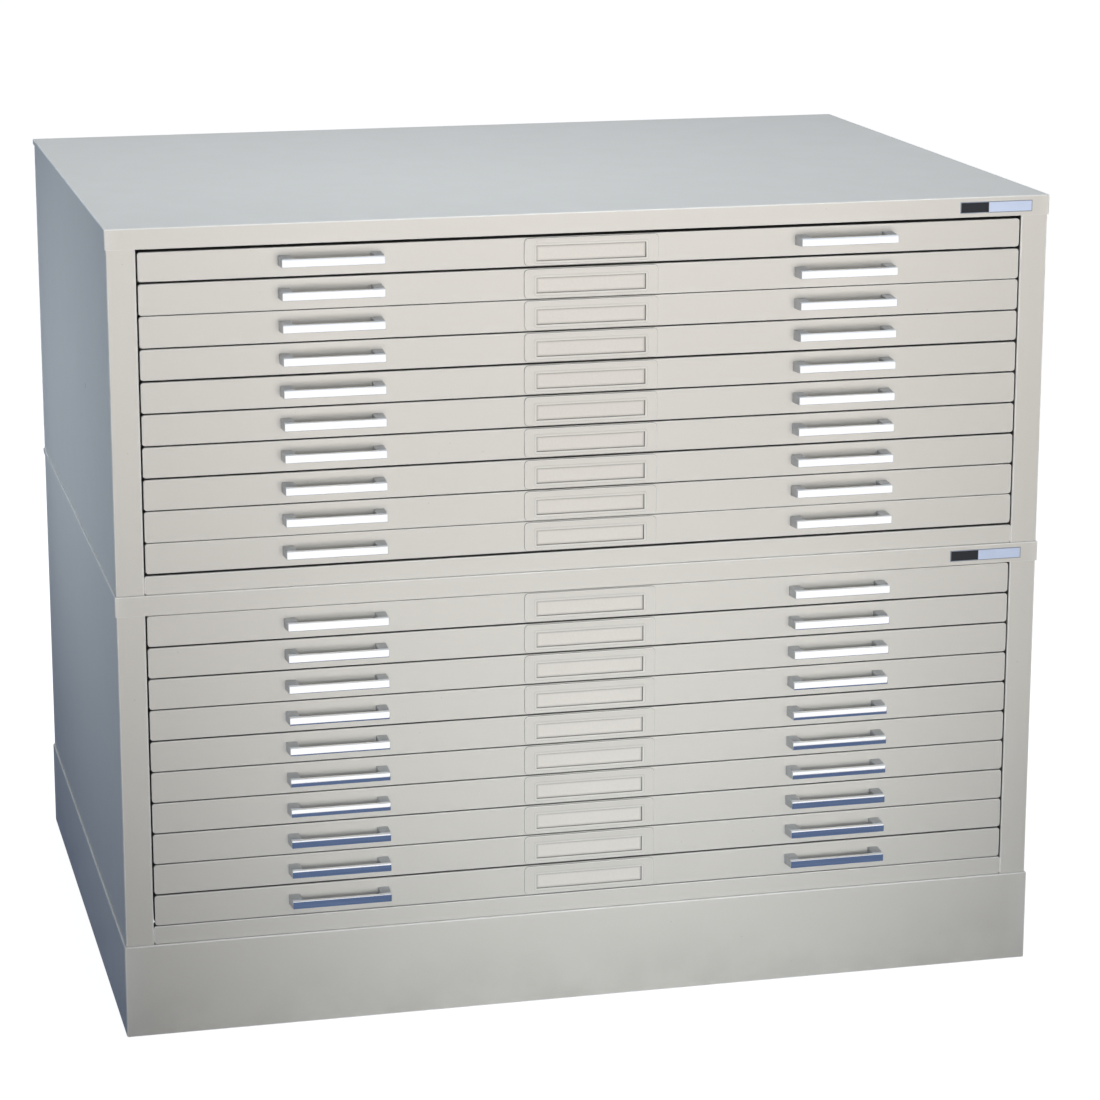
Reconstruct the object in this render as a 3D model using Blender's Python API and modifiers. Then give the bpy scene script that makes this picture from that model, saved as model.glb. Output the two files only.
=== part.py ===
"""Two-high steel flat file cabinet: a closed base, two stacked ten-drawer units and twenty sliding drawers.

Units are metres, +Z is up, and the drawers pull out along -Y. The origin is on the floor, at the middle
of the whole cabinet's width and depth, pulls included.
"""

import math

import bmesh
import bpy
from mathutils import Matrix, Vector

# Case
BODY_WIDTH = 1.0230
BODY_DEPTH = 0.7440
HEADER_HEIGHT = 0.0219
RAIL_HEIGHT = 0.0203
POST_WIDTH = 0.0302
POST_RETURN = 0.0140
REAR_FLANGE = 0.0160
CAP_LIP = 0.0060
SHEET = 0.0009
SEAT_GAP = 0.0003
FOLD_RADIUS = 0.0015
FOLD_SEGMENTS = 2
UNITS = ("lower", "upper")

# Base
BASE_HEIGHT = 0.1026
BASE_PROUD = 0.0016
BASE_SHEET = 0.0015
BASE_TOP_FLANGE = 0.0340
BASE_FOOT_FLANGE = 0.0180

# Drawers
DRAWERS_PER_UNIT = 10
DRAWER_PITCH = 0.0343
FRONT_GAP = 0.0020
FRONT_SIDE_GAP = 0.0020
FRONT_PAN_DEPTH = 0.0140
FRONT_CORNER_RADIUS = 0.0032
CORNER_SEGMENTS = 3
TRAY_DEPTH = 0.6750
TRAY_SIDE_HEIGHT = 0.0280
TRAY_RISE = 0.0020
HOOD_DEPTH = 0.0500

# Runners and rollers
RACK_SHEET = 0.0012
RUNNER_WIDTH = 0.0090
RUNNER_THICKNESS = 0.0012
RUNNER_POST_CLEARANCE = 0.0013
CHANNEL_RISE = 0.0050
CHANNEL_SIDE_CLEARANCE = 0.0006
CHANNEL_TOP_CLEARANCE = 0.0012
CHANNEL_FRONT_SETBACK = 0.0170
CHANNEL_REAR_SETBACK = 0.0060
ROLLER_DIAMETER = 0.0090
ROLLER_SIDES = 10
ROLLER_LIFT = 0.0005
FRONT_ROLLER_SETBACK = 0.0300
REAR_ROLLER_INSET = 0.0400
UPRIGHT_WIDTH = 0.0300
WELD_OVERLAP = 0.0005

# Rear cross rail
REAR_RAIL_HEIGHT = 0.0180
REAR_RAIL_DEPTH = 0.0250

# Pulls
PULL_LENGTH = 0.1080
PULL_REACH = 0.0300
PULL_HEIGHT = 0.0085
PULL_BAR_DEPTH = 0.0085
PULL_FOOT_WIDTH = 0.0130
PULL_OUTER_RADIUS = 0.0030
PULL_INNER_RADIUS = 0.0020
PULL_OFFSET = 0.2778
PULL_ABOVE_MIDDLE = 0.0026

# Label holder
LABEL_WIDTH = 0.1458
LABEL_MARGIN = 0.0008
LABEL_PROUD = 0.0014
LABEL_CORNER_RADIUS = 0.0045
CARD_WIDTH = 0.1194
CARD_HEIGHT = 0.0166
CARD_BELOW_MIDDLE = 0.0018
CARD_DEPTH = 0.0010

# Angles in degrees: a crease that is shaded sharp, and the most that two like directions differ by
SHARP_ANGLE = 45.0
ALIGNED_ANGLE = 25.0

PAINT = (0.70, 0.66, 0.58)
STEEL = (0.52, 0.53, 0.54)
CHROME = (0.80, 0.82, 0.85)

# Derived sizes
STACK_HEIGHT = DRAWERS_PER_UNIT * DRAWER_PITCH + FRONT_GAP
UNIT_HEIGHT = HEADER_HEIGHT + STACK_HEIGHT + RAIL_HEIGHT
FRONT_Y = PULL_REACH - (PULL_REACH + BODY_DEPTH + BASE_PROUD) / 2
BACK_Y = FRONT_Y + BODY_DEPTH
HALF_BODY = BODY_WIDTH / 2
HALF_OPENING = HALF_BODY - POST_WIDTH
HALF_FRONT = HALF_OPENING - FRONT_SIDE_GAP
FRONT_HEIGHT = DRAWER_PITCH - FRONT_GAP
RUNNER_REACH = HALF_OPENING - RUNNER_POST_CLEARANCE
HALF_TRAY = RUNNER_REACH - RUNNER_WIDTH
TRAY_FRONT_Y = FRONT_Y + FRONT_PAN_DEPTH + SEAT_GAP
TRAY_BACK_Y = TRAY_FRONT_Y + TRAY_DEPTH
CHANNEL_WEB = RUNNER_REACH + CHANNEL_SIDE_CLEARANCE
ROLLER_RADIUS = ROLLER_DIAMETER / 2
RUNNER_RISE = ROLLER_LIFT + ROLLER_DIAMETER + SEAT_GAP
CHANNEL_INNER_HEIGHT = RUNNER_RISE + RUNNER_THICKNESS + CHANNEL_TOP_CLEARANCE
CHANNEL_HEIGHT = CHANNEL_INNER_HEIGHT + 2 * RACK_SHEET
INSIDE_BACK_Y = BACK_Y - 2 * (SHEET + SEAT_GAP)


def clear_scene():
    """Remove every object of the open file."""
    for obj in list(bpy.data.objects):
        bpy.data.objects.remove(obj, do_unlink=True)


def new_collection(name):
    """Return a new collection linked to the scene."""
    collection = bpy.data.collections.new(name)
    bpy.context.scene.collection.children.link(collection)
    return collection


def new_material(name, colour, roughness, metallic):
    """Return a Principled material."""
    material = bpy.data.materials.new(name)
    material.use_nodes = True
    shader = material.node_tree.nodes["Principled BSDF"]
    shader.inputs["Base Color"].default_value = (*colour, 1.0)
    shader.inputs["Roughness"].default_value = roughness
    shader.inputs["Metallic"].default_value = metallic
    material.diffuse_color = (*colour, 1.0)
    return material


def paint_material(name):
    return new_material(name + "_paint", PAINT, 0.35, 0.0)


def steel_material(name):
    return new_material(name + "_steel", STEEL, 0.40, 1.0)


def new_object(name, bm, collection, material=None):
    """Turn a bmesh into a linked object."""
    mesh = bpy.data.meshes.new(name)
    bm.to_mesh(mesh)
    bm.free()
    obj = bpy.data.objects.new(name, mesh)
    collection.objects.link(obj)
    if material:
        mesh.materials.append(material)
    return obj


def shade_folds(mesh):
    """Shade a mesh smooth over its rounded folds and sharp at its cut edges."""
    mesh.shade_smooth()
    mesh.set_sharp_from_angle(angle=math.radians(SHARP_ANGLE))


def is_aligned(cosine):
    """Tell whether two directions, given the cosine between them, count as one."""
    return cosine > math.cos(math.radians(ALIGNED_ANGLE))


def faces_towards(bm, direction):
    """Return the faces that look straight along a direction."""
    bm.normal_update()
    return [face for face in bm.faces if is_aligned(face.normal.dot(Vector(direction)))]


def edges_along(bm, direction):
    """Return the edges that run along a direction."""
    axis = Vector(direction)
    return [
        edge
        for edge in bm.edges
        if is_aligned(abs((edge.verts[1].co - edge.verts[0].co).normalized().dot(axis)))
    ]


def round_edges(bm, edges, radius, segments):
    """Round some edges of a bmesh to a radius."""
    bmesh.ops.bevel(
        bm, geom=edges, offset=radius, segments=segments, affect="EDGES", profile=0.5
    )


def add_box(bm, low, high):
    """Add a box between two corners and return its vertices."""
    low = Vector(low)
    high = Vector(high)
    size = Matrix.Diagonal((*(high - low), 1.0))
    place = Matrix.Translation((low + high) / 2) @ size
    return bmesh.ops.create_cube(bm, size=1.0, matrix=place)["verts"]


def add_roller(bm, x_from, x_to, y, z):
    """Add a cylinder along X, for a runner's roller."""
    turn = Matrix.Rotation(math.pi / 2, 4, "Y")
    place = Matrix.Translation(((x_from + x_to) / 2, y, z)) @ turn
    bmesh.ops.create_cone(
        bm,
        cap_ends=True,
        segments=ROLLER_SIDES,
        radius1=ROLLER_RADIUS,
        radius2=ROLLER_RADIUS,
        depth=abs(x_to - x_from),
        matrix=place,
    )


def add_solidify(obj, thickness):
    """Give an open surface a wall on the side its normals point away from."""
    modifier = obj.modifiers.new("Wall", "SOLIDIFY")
    modifier.thickness = thickness
    modifier.offset = -1.0
    modifier.use_even_offset = True
    return modifier


def add_boolean(obj, other, operation):
    """Join or cut with another object, keeping the other object's materials."""
    modifier = obj.modifiers.new(operation.title(), "BOOLEAN")
    modifier.operation = operation
    modifier.object = other
    modifier.material_mode = "TRANSFER"
    return modifier


def add_helper(name, bm, helpers, material=None):
    """Make a cutter or a piece to be joined, which is left out of a render."""
    helper = new_object(name, bm, helpers, material)
    helper.hide_render = True
    helper.display_type = "WIRE"
    return helper


def fold_sheet(name, outline, direction, inside, thickness, collection, material, radius=FOLD_RADIUS):
    """Fold a sheet along an outline, run it along a direction and thicken it towards the inside point."""
    bm = bmesh.new()
    points = [bm.verts.new(point) for point in outline]
    edges = [bm.edges.new(pair) for pair in zip(points, points[1:])]
    run = bmesh.ops.extrude_edge_only(bm, edges=edges)["geom"]
    moved = [item for item in run if isinstance(item, bmesh.types.BMVert)]
    bmesh.ops.translate(bm, verts=moved, vec=direction)
    bmesh.ops.recalc_face_normals(bm, faces=bm.faces[:])
    bm.normal_update()
    widest = max(bm.faces, key=lambda face: face.calc_area())
    if widest.normal.dot(Vector(inside) - widest.calc_center_median()) > 0:
        bmesh.ops.reverse_faces(bm, faces=bm.faces[:])
    folds = [edge for edge in bm.edges if len(edge.link_faces) == 2]
    if folds and radius:
        round_edges(bm, folds, radius, FOLD_SEGMENTS)
    obj = new_object(name, bm, collection, material)
    add_solidify(obj, thickness)
    shade_folds(obj.data)
    return obj


def open_pan(bm, low, high, open_side, corner_axis, corner_radius, segments):
    """Add a box without one side, with its edges along one axis rounded."""
    add_box(bm, low, high)
    bmesh.ops.delete(bm, geom=faces_towards(bm, open_side), context="FACES_ONLY")
    round_edges(bm, edges_along(bm, corner_axis), corner_radius, segments)


def mirrored_x(points, side):
    """Return points given for the right side (+1) turned to the wanted side."""
    return [(side * x, y, z) for x, y, z in points]


def build_base(parts):
    """Closed base: four walls with a top flange under the case and a foot flange on the floor."""
    half = HALF_BODY + BASE_PROUD
    bm = bmesh.new()
    add_box(bm, (-half, FRONT_Y - BASE_PROUD, 0.0), (half, BACK_Y + BASE_PROUD, BASE_HEIGHT))
    for facing, flange in (((0, 0, 1), BASE_TOP_FLANGE), ((0, 0, -1), BASE_FOOT_FLANGE)):
        middle = faces_towards(bm, facing)
        bmesh.ops.inset_region(bm, faces=middle, thickness=flange, use_even_offset=True)
        bmesh.ops.delete(bm, geom=middle, context="FACES_ONLY")
    bends = [
        edge
        for edge in bm.edges
        if len(edge.link_faces) == 2 and edge.calc_face_angle() > math.radians(SHARP_ANGLE)
    ]
    round_edges(bm, bends, FOLD_RADIUS, FOLD_SEGMENTS)
    base = new_object("base", bm, parts, paint_material("base"))
    add_solidify(base, BASE_SHEET)
    shade_folds(base.data)
    return base


def build_cap(unit, floor, parts, helpers):
    """Cap sheet of a unit: roof, tall front header, short lips over the sides and the back."""
    top = floor + UNIT_HEIGHT
    half = HALF_BODY + SEAT_GAP + SHEET
    front = FRONT_Y - SEAT_GAP - SHEET
    back = BACK_Y + SEAT_GAP + SHEET
    bm = bmesh.new()
    add_box(bm, (-half, front, top - HEADER_HEIGHT), (half, back, top))
    bmesh.ops.delete(bm, geom=faces_towards(bm, (0, 0, -1)), context="FACES_ONLY")
    bends = [edge for edge in bm.edges if len(edge.link_faces) == 2]
    round_edges(bm, bends, FOLD_RADIUS, FOLD_SEGMENTS)
    cap = new_object(unit + "_cap", bm, parts, paint_material(unit + "_cap"))
    add_solidify(cap, SHEET)

    cut = bmesh.new()
    reach = HALF_BODY + 2 * (SHEET + SEAT_GAP)
    add_box(
        cut,
        (-reach, FRONT_Y + SHEET, top - 2 * HEADER_HEIGHT),
        (reach, back + SHEET, top - CAP_LIP),
    )
    add_boolean(cap, add_helper(unit + "_cap_lip_cutter", cut, helpers), "DIFFERENCE")

    fold = bmesh.new()
    add_box(
        fold,
        (-HALF_OPENING + SEAT_GAP, front + SHEET / 2, top - HEADER_HEIGHT),
        (HALF_OPENING - SEAT_GAP, FRONT_Y + POST_RETURN, top - HEADER_HEIGHT + SHEET),
    )
    add_boolean(cap, add_helper(unit + "_header_return", fold, helpers), "UNION")
    shade_folds(cap.data)
    return cap


def build_side(unit, side, label, floor, parts):
    """Side panel folded in one piece with its front post and rear flange."""
    low = floor + SEAT_GAP
    height = UNIT_HEIGHT - SHEET - 2 * SEAT_GAP
    outline = [
        (HALF_OPENING, FRONT_Y + POST_RETURN, low),
        (HALF_OPENING, FRONT_Y, low),
        (HALF_BODY, FRONT_Y, low),
        (HALF_BODY, BACK_Y, low),
        (HALF_BODY - REAR_FLANGE, BACK_Y, low),
    ]
    name = unit + "_side_" + label
    inside = (side * HALF_OPENING / 2, (FRONT_Y + BACK_Y) / 2, low)
    return fold_sheet(
        name,
        mirrored_x(outline, side),
        (0, 0, height),
        inside,
        SHEET,
        parts,
        paint_material(name),
    )


def build_back(unit, floor, parts):
    """Back panel, a flat sheet laid inside the rear flanges of the sides."""
    half = HALF_BODY - SHEET - SEAT_GAP
    outer = BACK_Y - SHEET - SEAT_GAP
    low = floor + SEAT_GAP
    height = UNIT_HEIGHT - SHEET - 2 * SEAT_GAP
    outline = [(-half, outer, low), (half, outer, low)]
    name = unit + "_back"
    inside = (0, FRONT_Y, low)
    return fold_sheet(name, outline, (0, 0, height), inside, SHEET, parts, paint_material(name))


def build_bottom_rail(unit, floor, parts):
    """Front rail under the lowest drawer: a pan open at the back, with rounded corners."""
    half = HALF_OPENING - SEAT_GAP
    bm = bmesh.new()
    open_pan(
        bm,
        (-half, FRONT_Y, floor + SEAT_GAP),
        (half, FRONT_Y + FRONT_PAN_DEPTH, floor + RAIL_HEIGHT),
        (0, 1, 0),
        (0, 1, 0),
        FRONT_CORNER_RADIUS,
        CORNER_SEGMENTS,
    )
    name = unit + "_bottom_rail"
    rail = new_object(name, bm, parts, paint_material(name))
    add_solidify(rail, SHEET)
    shade_folds(rail.data)
    return rail


def build_rear_rail(unit, floor, parts):
    """Cross rail between the rear uprights, a channel open to the floor."""
    half = CHANNEL_WEB + RACK_SHEET - WELD_OVERLAP - SEAT_GAP
    back = INSIDE_BACK_Y - SEAT_GAP - SHEET
    low = floor + SEAT_GAP
    outline = [
        (-half, back - REAR_RAIL_DEPTH, low),
        (-half, back - REAR_RAIL_DEPTH, low + REAR_RAIL_HEIGHT),
        (-half, back, low + REAR_RAIL_HEIGHT),
        (-half, back, low),
    ]
    name = unit + "_rear_rail"
    inside = (0, back - REAR_RAIL_DEPTH / 2, low)
    return fold_sheet(
        name, outline, (2 * half, 0, 0), inside, RACK_SHEET, parts, steel_material(name)
    )


def drawer_floor(unit_floor, index):
    """Height of a drawer front's lower edge. Drawer 0 is the top one."""
    return unit_floor + RAIL_HEIGHT + FRONT_GAP + (DRAWERS_PER_UNIT - 1 - index) * DRAWER_PITCH


def build_rack(unit, side, label, floor, parts, helpers):
    """Slide rack: two uprights that carry one roller channel for each drawer."""
    name = unit + "_rack_" + label
    front = FRONT_Y + CHANNEL_FRONT_SETBACK
    back = INSIDE_BACK_Y - CHANNEL_REAR_SETBACK
    low = floor + SEAT_GAP
    height = UNIT_HEIGHT - SHEET - 2 * SEAT_GAP
    web = CHANNEL_WEB + RACK_SHEET - WELD_OVERLAP
    wall = HALF_BODY - SHEET - SEAT_GAP
    tip = HALF_TRAY + CHANNEL_SIDE_CLEARANCE
    material = steel_material(name)

    def upright(piece, y, target, hidden):
        outline = [
            (wall, y, low),
            (web, y, low),
            (web, y + UPRIGHT_WIDTH, low),
            (wall, y + UPRIGHT_WIDTH, low),
        ]
        inside = (side * wall, y + UPRIGHT_WIDTH / 2, low)
        made = fold_sheet(
            piece,
            mirrored_x(outline, side),
            (0, 0, height),
            inside,
            RACK_SHEET,
            target,
            material,
            radius=0.0,
        )
        made.hide_render = hidden
        if hidden:
            made.display_type = "WIRE"
        return made

    rack = upright(name, front, parts, False)
    rear = upright(name + "_rear_upright", back - UPRIGHT_WIDTH, helpers, True)
    add_boolean(rack, rear, "UNION")

    for index in range(DRAWERS_PER_UNIT):
        under = drawer_floor(floor, index) + CHANNEL_RISE
        outline = [
            (tip, front, under),
            (CHANNEL_WEB + RACK_SHEET, front, under),
            (CHANNEL_WEB + RACK_SHEET, front, under + CHANNEL_HEIGHT),
            (tip, front, under + CHANNEL_HEIGHT),
        ]
        inside = (side * tip, (front + back) / 2, under + CHANNEL_HEIGHT / 2)
        piece = name + "_channel_%02d" % index
        channel = fold_sheet(
            piece,
            mirrored_x(outline, side),
            (0, back - front, 0),
            inside,
            RACK_SHEET,
            helpers,
            material,
            radius=0.0,
        )
        channel.hide_render = True
        channel.display_type = "WIRE"
        add_boolean(rack, channel, "UNION")

    rollers = bmesh.new()
    for index in range(DRAWERS_PER_UNIT):
        under = drawer_floor(floor, index) + CHANNEL_RISE + RACK_SHEET
        add_roller(
            rollers,
            side * (tip + CHANNEL_SIDE_CLEARANCE),
            side * (CHANNEL_WEB + RACK_SHEET / 2),
            FRONT_Y + FRONT_ROLLER_SETBACK,
            under + ROLLER_LIFT + ROLLER_RADIUS,
        )
    add_boolean(rack, add_helper(name + "_rollers", rollers, helpers, material), "UNION")
    return rack


def pull_outline():
    """Plan of a pull: a bar on two feet, outer and inner corners rounded, as (x, y) points."""
    half = PULL_LENGTH / 2
    inner = half - PULL_FOOT_WIDTH
    bar_back = -PULL_REACH + PULL_BAR_DEPTH

    def arc(centre, radius, start, sweep, steps):
        angles = [math.radians(start + sweep * step / steps) for step in range(steps + 1)]
        return [(centre[0] + radius * math.cos(a), centre[1] + radius * math.sin(a)) for a in angles]

    outer = PULL_OUTER_RADIUS
    small = PULL_INNER_RADIUS
    seat = WELD_OVERLAP
    points = [(-half, seat)]
    points += arc((-half + outer, -PULL_REACH + outer), outer, 180, 90, 3)
    points += arc((half - outer, -PULL_REACH + outer), outer, 270, 90, 3)
    points += [(half, seat), (inner, seat)]
    points += arc((inner - small, bar_back + small), small, 0, -90, 2)
    points += arc((-inner + small, bar_back + small), small, 270, -90, 2)
    points += [(-inner, seat)]
    return points


def build_front_mesh(helpers, material, chrome):
    """Mesh of a drawer front at the origin: folded pan, label holder with its card recess, two pulls."""
    bm = bmesh.new()
    open_pan(
        bm,
        (-HALF_FRONT, 0.0, 0.0),
        (HALF_FRONT, FRONT_PAN_DEPTH, FRONT_HEIGHT),
        (0, 1, 0),
        (0, 1, 0),
        FRONT_CORNER_RADIUS,
        CORNER_SEGMENTS,
    )
    front = new_object("front_master", bm, helpers, material)
    add_solidify(front, SHEET)

    plate = bmesh.new()
    add_box(
        plate,
        (-LABEL_WIDTH / 2, -LABEL_PROUD, LABEL_MARGIN),
        (LABEL_WIDTH / 2, SHEET / 2, FRONT_HEIGHT - LABEL_MARGIN),
    )
    round_edges(plate, edges_along(plate, (0, 1, 0)), LABEL_CORNER_RADIUS, CORNER_SEGMENTS)
    add_boolean(front, add_helper("label_holder", plate, helpers, material), "UNION")

    card = bmesh.new()
    middle = FRONT_HEIGHT / 2 - CARD_BELOW_MIDDLE
    add_box(
        card,
        (-CARD_WIDTH / 2, -2 * LABEL_PROUD, middle - CARD_HEIGHT / 2),
        (CARD_WIDTH / 2, CARD_DEPTH - LABEL_PROUD, middle + CARD_HEIGHT / 2),
    )
    add_boolean(front, add_helper("card_recess_cutter", card, helpers, material), "DIFFERENCE")

    for side, label in ((-1, "left"), (1, "right")):
        pull = bmesh.new()
        base = FRONT_HEIGHT / 2 + PULL_ABOVE_MIDDLE - PULL_HEIGHT / 2
        loop = [pull.verts.new((side * PULL_OFFSET + x, y, base)) for x, y in pull_outline()]
        face = pull.faces.new(loop)
        raised = bmesh.ops.extrude_face_region(pull, geom=[face])["geom"]
        moved = [item for item in raised if isinstance(item, bmesh.types.BMVert)]
        bmesh.ops.translate(pull, verts=moved, vec=(0, 0, PULL_HEIGHT))
        bmesh.ops.recalc_face_normals(pull, faces=pull.faces[:])
        add_boolean(front, add_helper("pull_" + label, pull, helpers, chrome), "UNION")
    return baked_mesh(front, "drawer_front")


def build_tray_mesh(helpers, material):
    """Mesh of a drawer tray, at its drawer's floor height: pan, rear hood, runners and rear rollers."""
    low = TRAY_RISE
    high = TRAY_RISE + TRAY_SIDE_HEIGHT
    bm = bmesh.new()
    add_box(bm, (-HALF_TRAY, TRAY_FRONT_Y, low), (HALF_TRAY, TRAY_BACK_Y, high))
    bmesh.ops.delete(bm, geom=faces_towards(bm, (0, 0, 1)), context="FACES_ONLY")
    tray = new_object("tray_master", bm, helpers, material)
    add_solidify(tray, SHEET)

    extras = bmesh.new()
    add_box(
        extras,
        (-HALF_TRAY + SHEET / 2, TRAY_BACK_Y - HOOD_DEPTH, high - SHEET),
        (HALF_TRAY - SHEET / 2, TRAY_BACK_Y - SHEET / 2, high),
    )
    runner = CHANNEL_RISE + RACK_SHEET + RUNNER_RISE
    roller_y = TRAY_BACK_Y - REAR_ROLLER_INSET
    roller_z = CHANNEL_RISE + RACK_SHEET + SEAT_GAP + ROLLER_RADIUS
    for side in (-1, 1):
        inner = side * (HALF_TRAY - SHEET / 2)
        outer = side * RUNNER_REACH
        add_box(
            extras,
            (min(inner, outer), TRAY_FRONT_Y, runner),
            (max(inner, outer), TRAY_BACK_Y, runner + RUNNER_THICKNESS),
        )
        add_roller(extras, inner, side * (RUNNER_REACH - SEAT_GAP), roller_y, roller_z)
    add_boolean(tray, add_helper("tray_runners", extras, helpers, material), "UNION")
    return baked_mesh(tray, "drawer_tray")


def baked_mesh(obj, name):
    """Return the object's mesh with its modifiers applied."""
    graph = bpy.context.evaluated_depsgraph_get()
    mesh = bpy.data.meshes.new_from_object(obj.evaluated_get(graph))
    mesh.name = name
    shade_folds(mesh)
    return mesh


def place_drawer(number, unit_floor, index, front_mesh, tray_mesh, parts):
    """Place one drawer's front and tray under an empty that marks its slide."""
    floor = drawer_floor(unit_floor, index)
    slide = bpy.data.objects.new("drawer_%02d" % number, None)
    slide.location = (0.0, FRONT_Y, floor)
    parts.objects.link(slide)
    front = bpy.data.objects.new("drawer_%02d_front" % number, front_mesh)
    tray = bpy.data.objects.new("drawer_%02d_tray" % number, tray_mesh)
    for obj in (front, tray):
        parts.objects.link(obj)
        obj.parent = slide
    tray.location = (0.0, -FRONT_Y, 0.0)


def main():
    clear_scene()
    parts = new_collection("flat_file_cabinet")
    helpers = new_collection("cutters")
    build_base(parts)
    front_mesh = build_front_mesh(
        helpers, paint_material("drawer_front"), new_material("pull_chrome", CHROME, 0.12, 1.0)
    )
    tray_mesh = build_tray_mesh(helpers, paint_material("drawer_tray"))
    for name in ("front_master", "tray_master"):
        bpy.data.objects.remove(bpy.data.objects[name], do_unlink=True)
    total = len(UNITS) * DRAWERS_PER_UNIT
    for level, unit in enumerate(UNITS):
        floor = BASE_HEIGHT + level * UNIT_HEIGHT
        build_cap(unit, floor, parts, helpers)
        build_back(unit, floor, parts)
        build_bottom_rail(unit, floor, parts)
        build_rear_rail(unit, floor, parts)
        for side, label in ((-1, "left"), (1, "right")):
            build_side(unit, side, label, floor, parts)
            build_rack(unit, side, label, floor, parts, helpers)
        first = total - (level + 1) * DRAWERS_PER_UNIT + 1
        for index in range(DRAWERS_PER_UNIT):
            place_drawer(first + index, floor, index, front_mesh, tray_mesh, parts)


main()
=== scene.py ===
"""Finished surfaces, materials, lights and camera for a two-high steel flat file cabinet.

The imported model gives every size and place. Each new piece is a surface computed as whole arrays: a grid
of points that is a function of two parameters, or a section carried along a path. Units are metres, +Z is
up, and the drawers pull out along -Y.
"""

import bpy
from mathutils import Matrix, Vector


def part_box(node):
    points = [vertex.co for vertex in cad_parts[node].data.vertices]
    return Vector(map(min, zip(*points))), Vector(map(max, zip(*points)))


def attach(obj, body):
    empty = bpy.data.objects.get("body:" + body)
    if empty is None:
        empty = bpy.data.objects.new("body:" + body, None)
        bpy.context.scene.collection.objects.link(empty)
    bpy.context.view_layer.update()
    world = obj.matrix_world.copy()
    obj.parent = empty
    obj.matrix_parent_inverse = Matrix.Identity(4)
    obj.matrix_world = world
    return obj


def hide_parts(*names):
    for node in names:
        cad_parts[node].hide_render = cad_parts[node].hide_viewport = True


bl_info = {
    "name": "Flat File Cabinet",
    "version": (1, 0, 0),
    "blender": (4, 5, 0),
    "location": "View3D > Sidebar > Flat File",
    "description": "Builds the finished surfaces, materials and stage of a steel flat file cabinet",
    "category": "Object",
}

import math

import bmesh
import bpy
import numpy as np
from bpy.props import FloatProperty, FloatVectorProperty, PointerProperty
from mathutils import Matrix, Vector

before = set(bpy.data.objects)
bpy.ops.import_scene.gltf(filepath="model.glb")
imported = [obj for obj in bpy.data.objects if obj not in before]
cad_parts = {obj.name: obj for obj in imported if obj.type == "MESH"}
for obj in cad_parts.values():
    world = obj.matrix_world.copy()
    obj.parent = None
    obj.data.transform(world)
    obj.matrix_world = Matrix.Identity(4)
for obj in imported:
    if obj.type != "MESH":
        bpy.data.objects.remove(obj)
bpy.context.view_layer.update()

UNITS = ("lower", "upper")
SIDES = (("left", -1.0), ("right", 1.0))
DRAWERS_PER_UNIT = 10
DRAWERS = ["drawer_%02d" % number for number in range(1, 2 * DRAWERS_PER_UNIT + 1)]

# Gaps above drawer 1 to below drawer 10 of each unit: bent fronts never hang quite evenly.
GAPS_UPPER = (0.0034, 0.0023, 0.0009, 0.0015, 0.0021, 0.0016, 0.0016, 0.0019, 0.0012, 0.0007, 0.0024)
GAPS_LOWER = (0.0010, 0.0018, 0.0016, 0.0013, 0.0016, 0.0013, 0.0013, 0.0014, 0.0012, 0.0018, 0.0010)
CAD_GAP = 0.0020

# How far each pull is turned follows from its drawer's number and its column's seed.
PULL_SEEDS = {"left": 26.7, "right": 5.7}

# Steps of the arcs, and the distance of the rings that keep a flat face flat beside a rounded edge
CORNER_STEPS = 5
FOLD_STEPS = 5
EDGE_HOLD = 0.0003

# Points across a cap and along its side, rings over its roof, and points and stations of a side panel
CAP_ACROSS, CAP_ALONG, ROOF_RINGS = 42, 32, 24
WALL_POINTS, WALL_STATIONS = 26, 15

# A length too small to see, where one has to be more than nothing, and the slack of a comparison
SMALLEST = 1e-5
SLACK = 1e-9

# Painted shade in a gap: none down to the first depth behind the face, full from the second on.
GAP_LIGHT = 0.0012
GAP_DARK = 0.0036

# An edge with this turn in degrees has the full mark, and one with the second is shaded sharp.
EDGE_TURN = 20.0
SHARP_TURN = 40.0

# Points nearer than this are merged, and an edge shorter than the second is dissolved.
MERGE_DISTANCE = 2e-6
NO_LENGTH = 1e-7

# The two directions of an outline and the direction of its depth, for a front's face and for a plan
FACE_AXES = ((1, 0, 0), (0, 0, 1), (0, 1, 0))
PLAN_AXES = ((1, 0, 0), (0, 1, 0), (0, 0, 1))

# Window for the card: its corner radius, and how much wider it is in the front than in the holder
WINDOW_CORNER = 0.0003
WINDOW_MARGIN = 0.0008

# How far the header's flange ends before each post
FLANGE_MARGIN = 0.0015

# Seeds of the sheets' buckles: the first unit's, and what each further unit adds
SIDE_SEEDS = (1.0, 2.3)
CAP_SEEDS = (0.6, 1.9)

# Bare plate: left and right edge, and lower and upper edge below the top of the cap
PLATE_X = (0.4102, 0.4926)
PLATE_DROP = (0.0176, 0.0052)
PLATE_BORDER = 0.0009
PLATE_DARK_SHARE = 0.395

# Colours inside the finishes, as scene-linear values
GREY = (0.6, 0.6, 0.6, 1.0)
SPECK = (0.14, 0.12, 0.10)
LOW_DOWN_TONE = (0.16, 0.14, 0.11)
# Pale enamel on folds, part worn thin and part painted highlight, and painted shade in gaps
THIN_ENAMEL_AND_HIGHLIGHT = (0.93, 0.92, 0.90)
GAP_SHADE = (0.035, 0.033, 0.028)

# Specks in the enamel: the share of cells that have none, and where one fades out
SPECK_FREE = 0.93
SPECK_EDGE = (0.035, 0.075)

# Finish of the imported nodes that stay, by a part of their names
CARRIED_FINISHES = {
    "_tray": "tray_enamel",
    "_rack_": "zinc_steel",
    "_rear_rail": "zinc_steel",
    "_back": "back_enamel",
}

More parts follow.
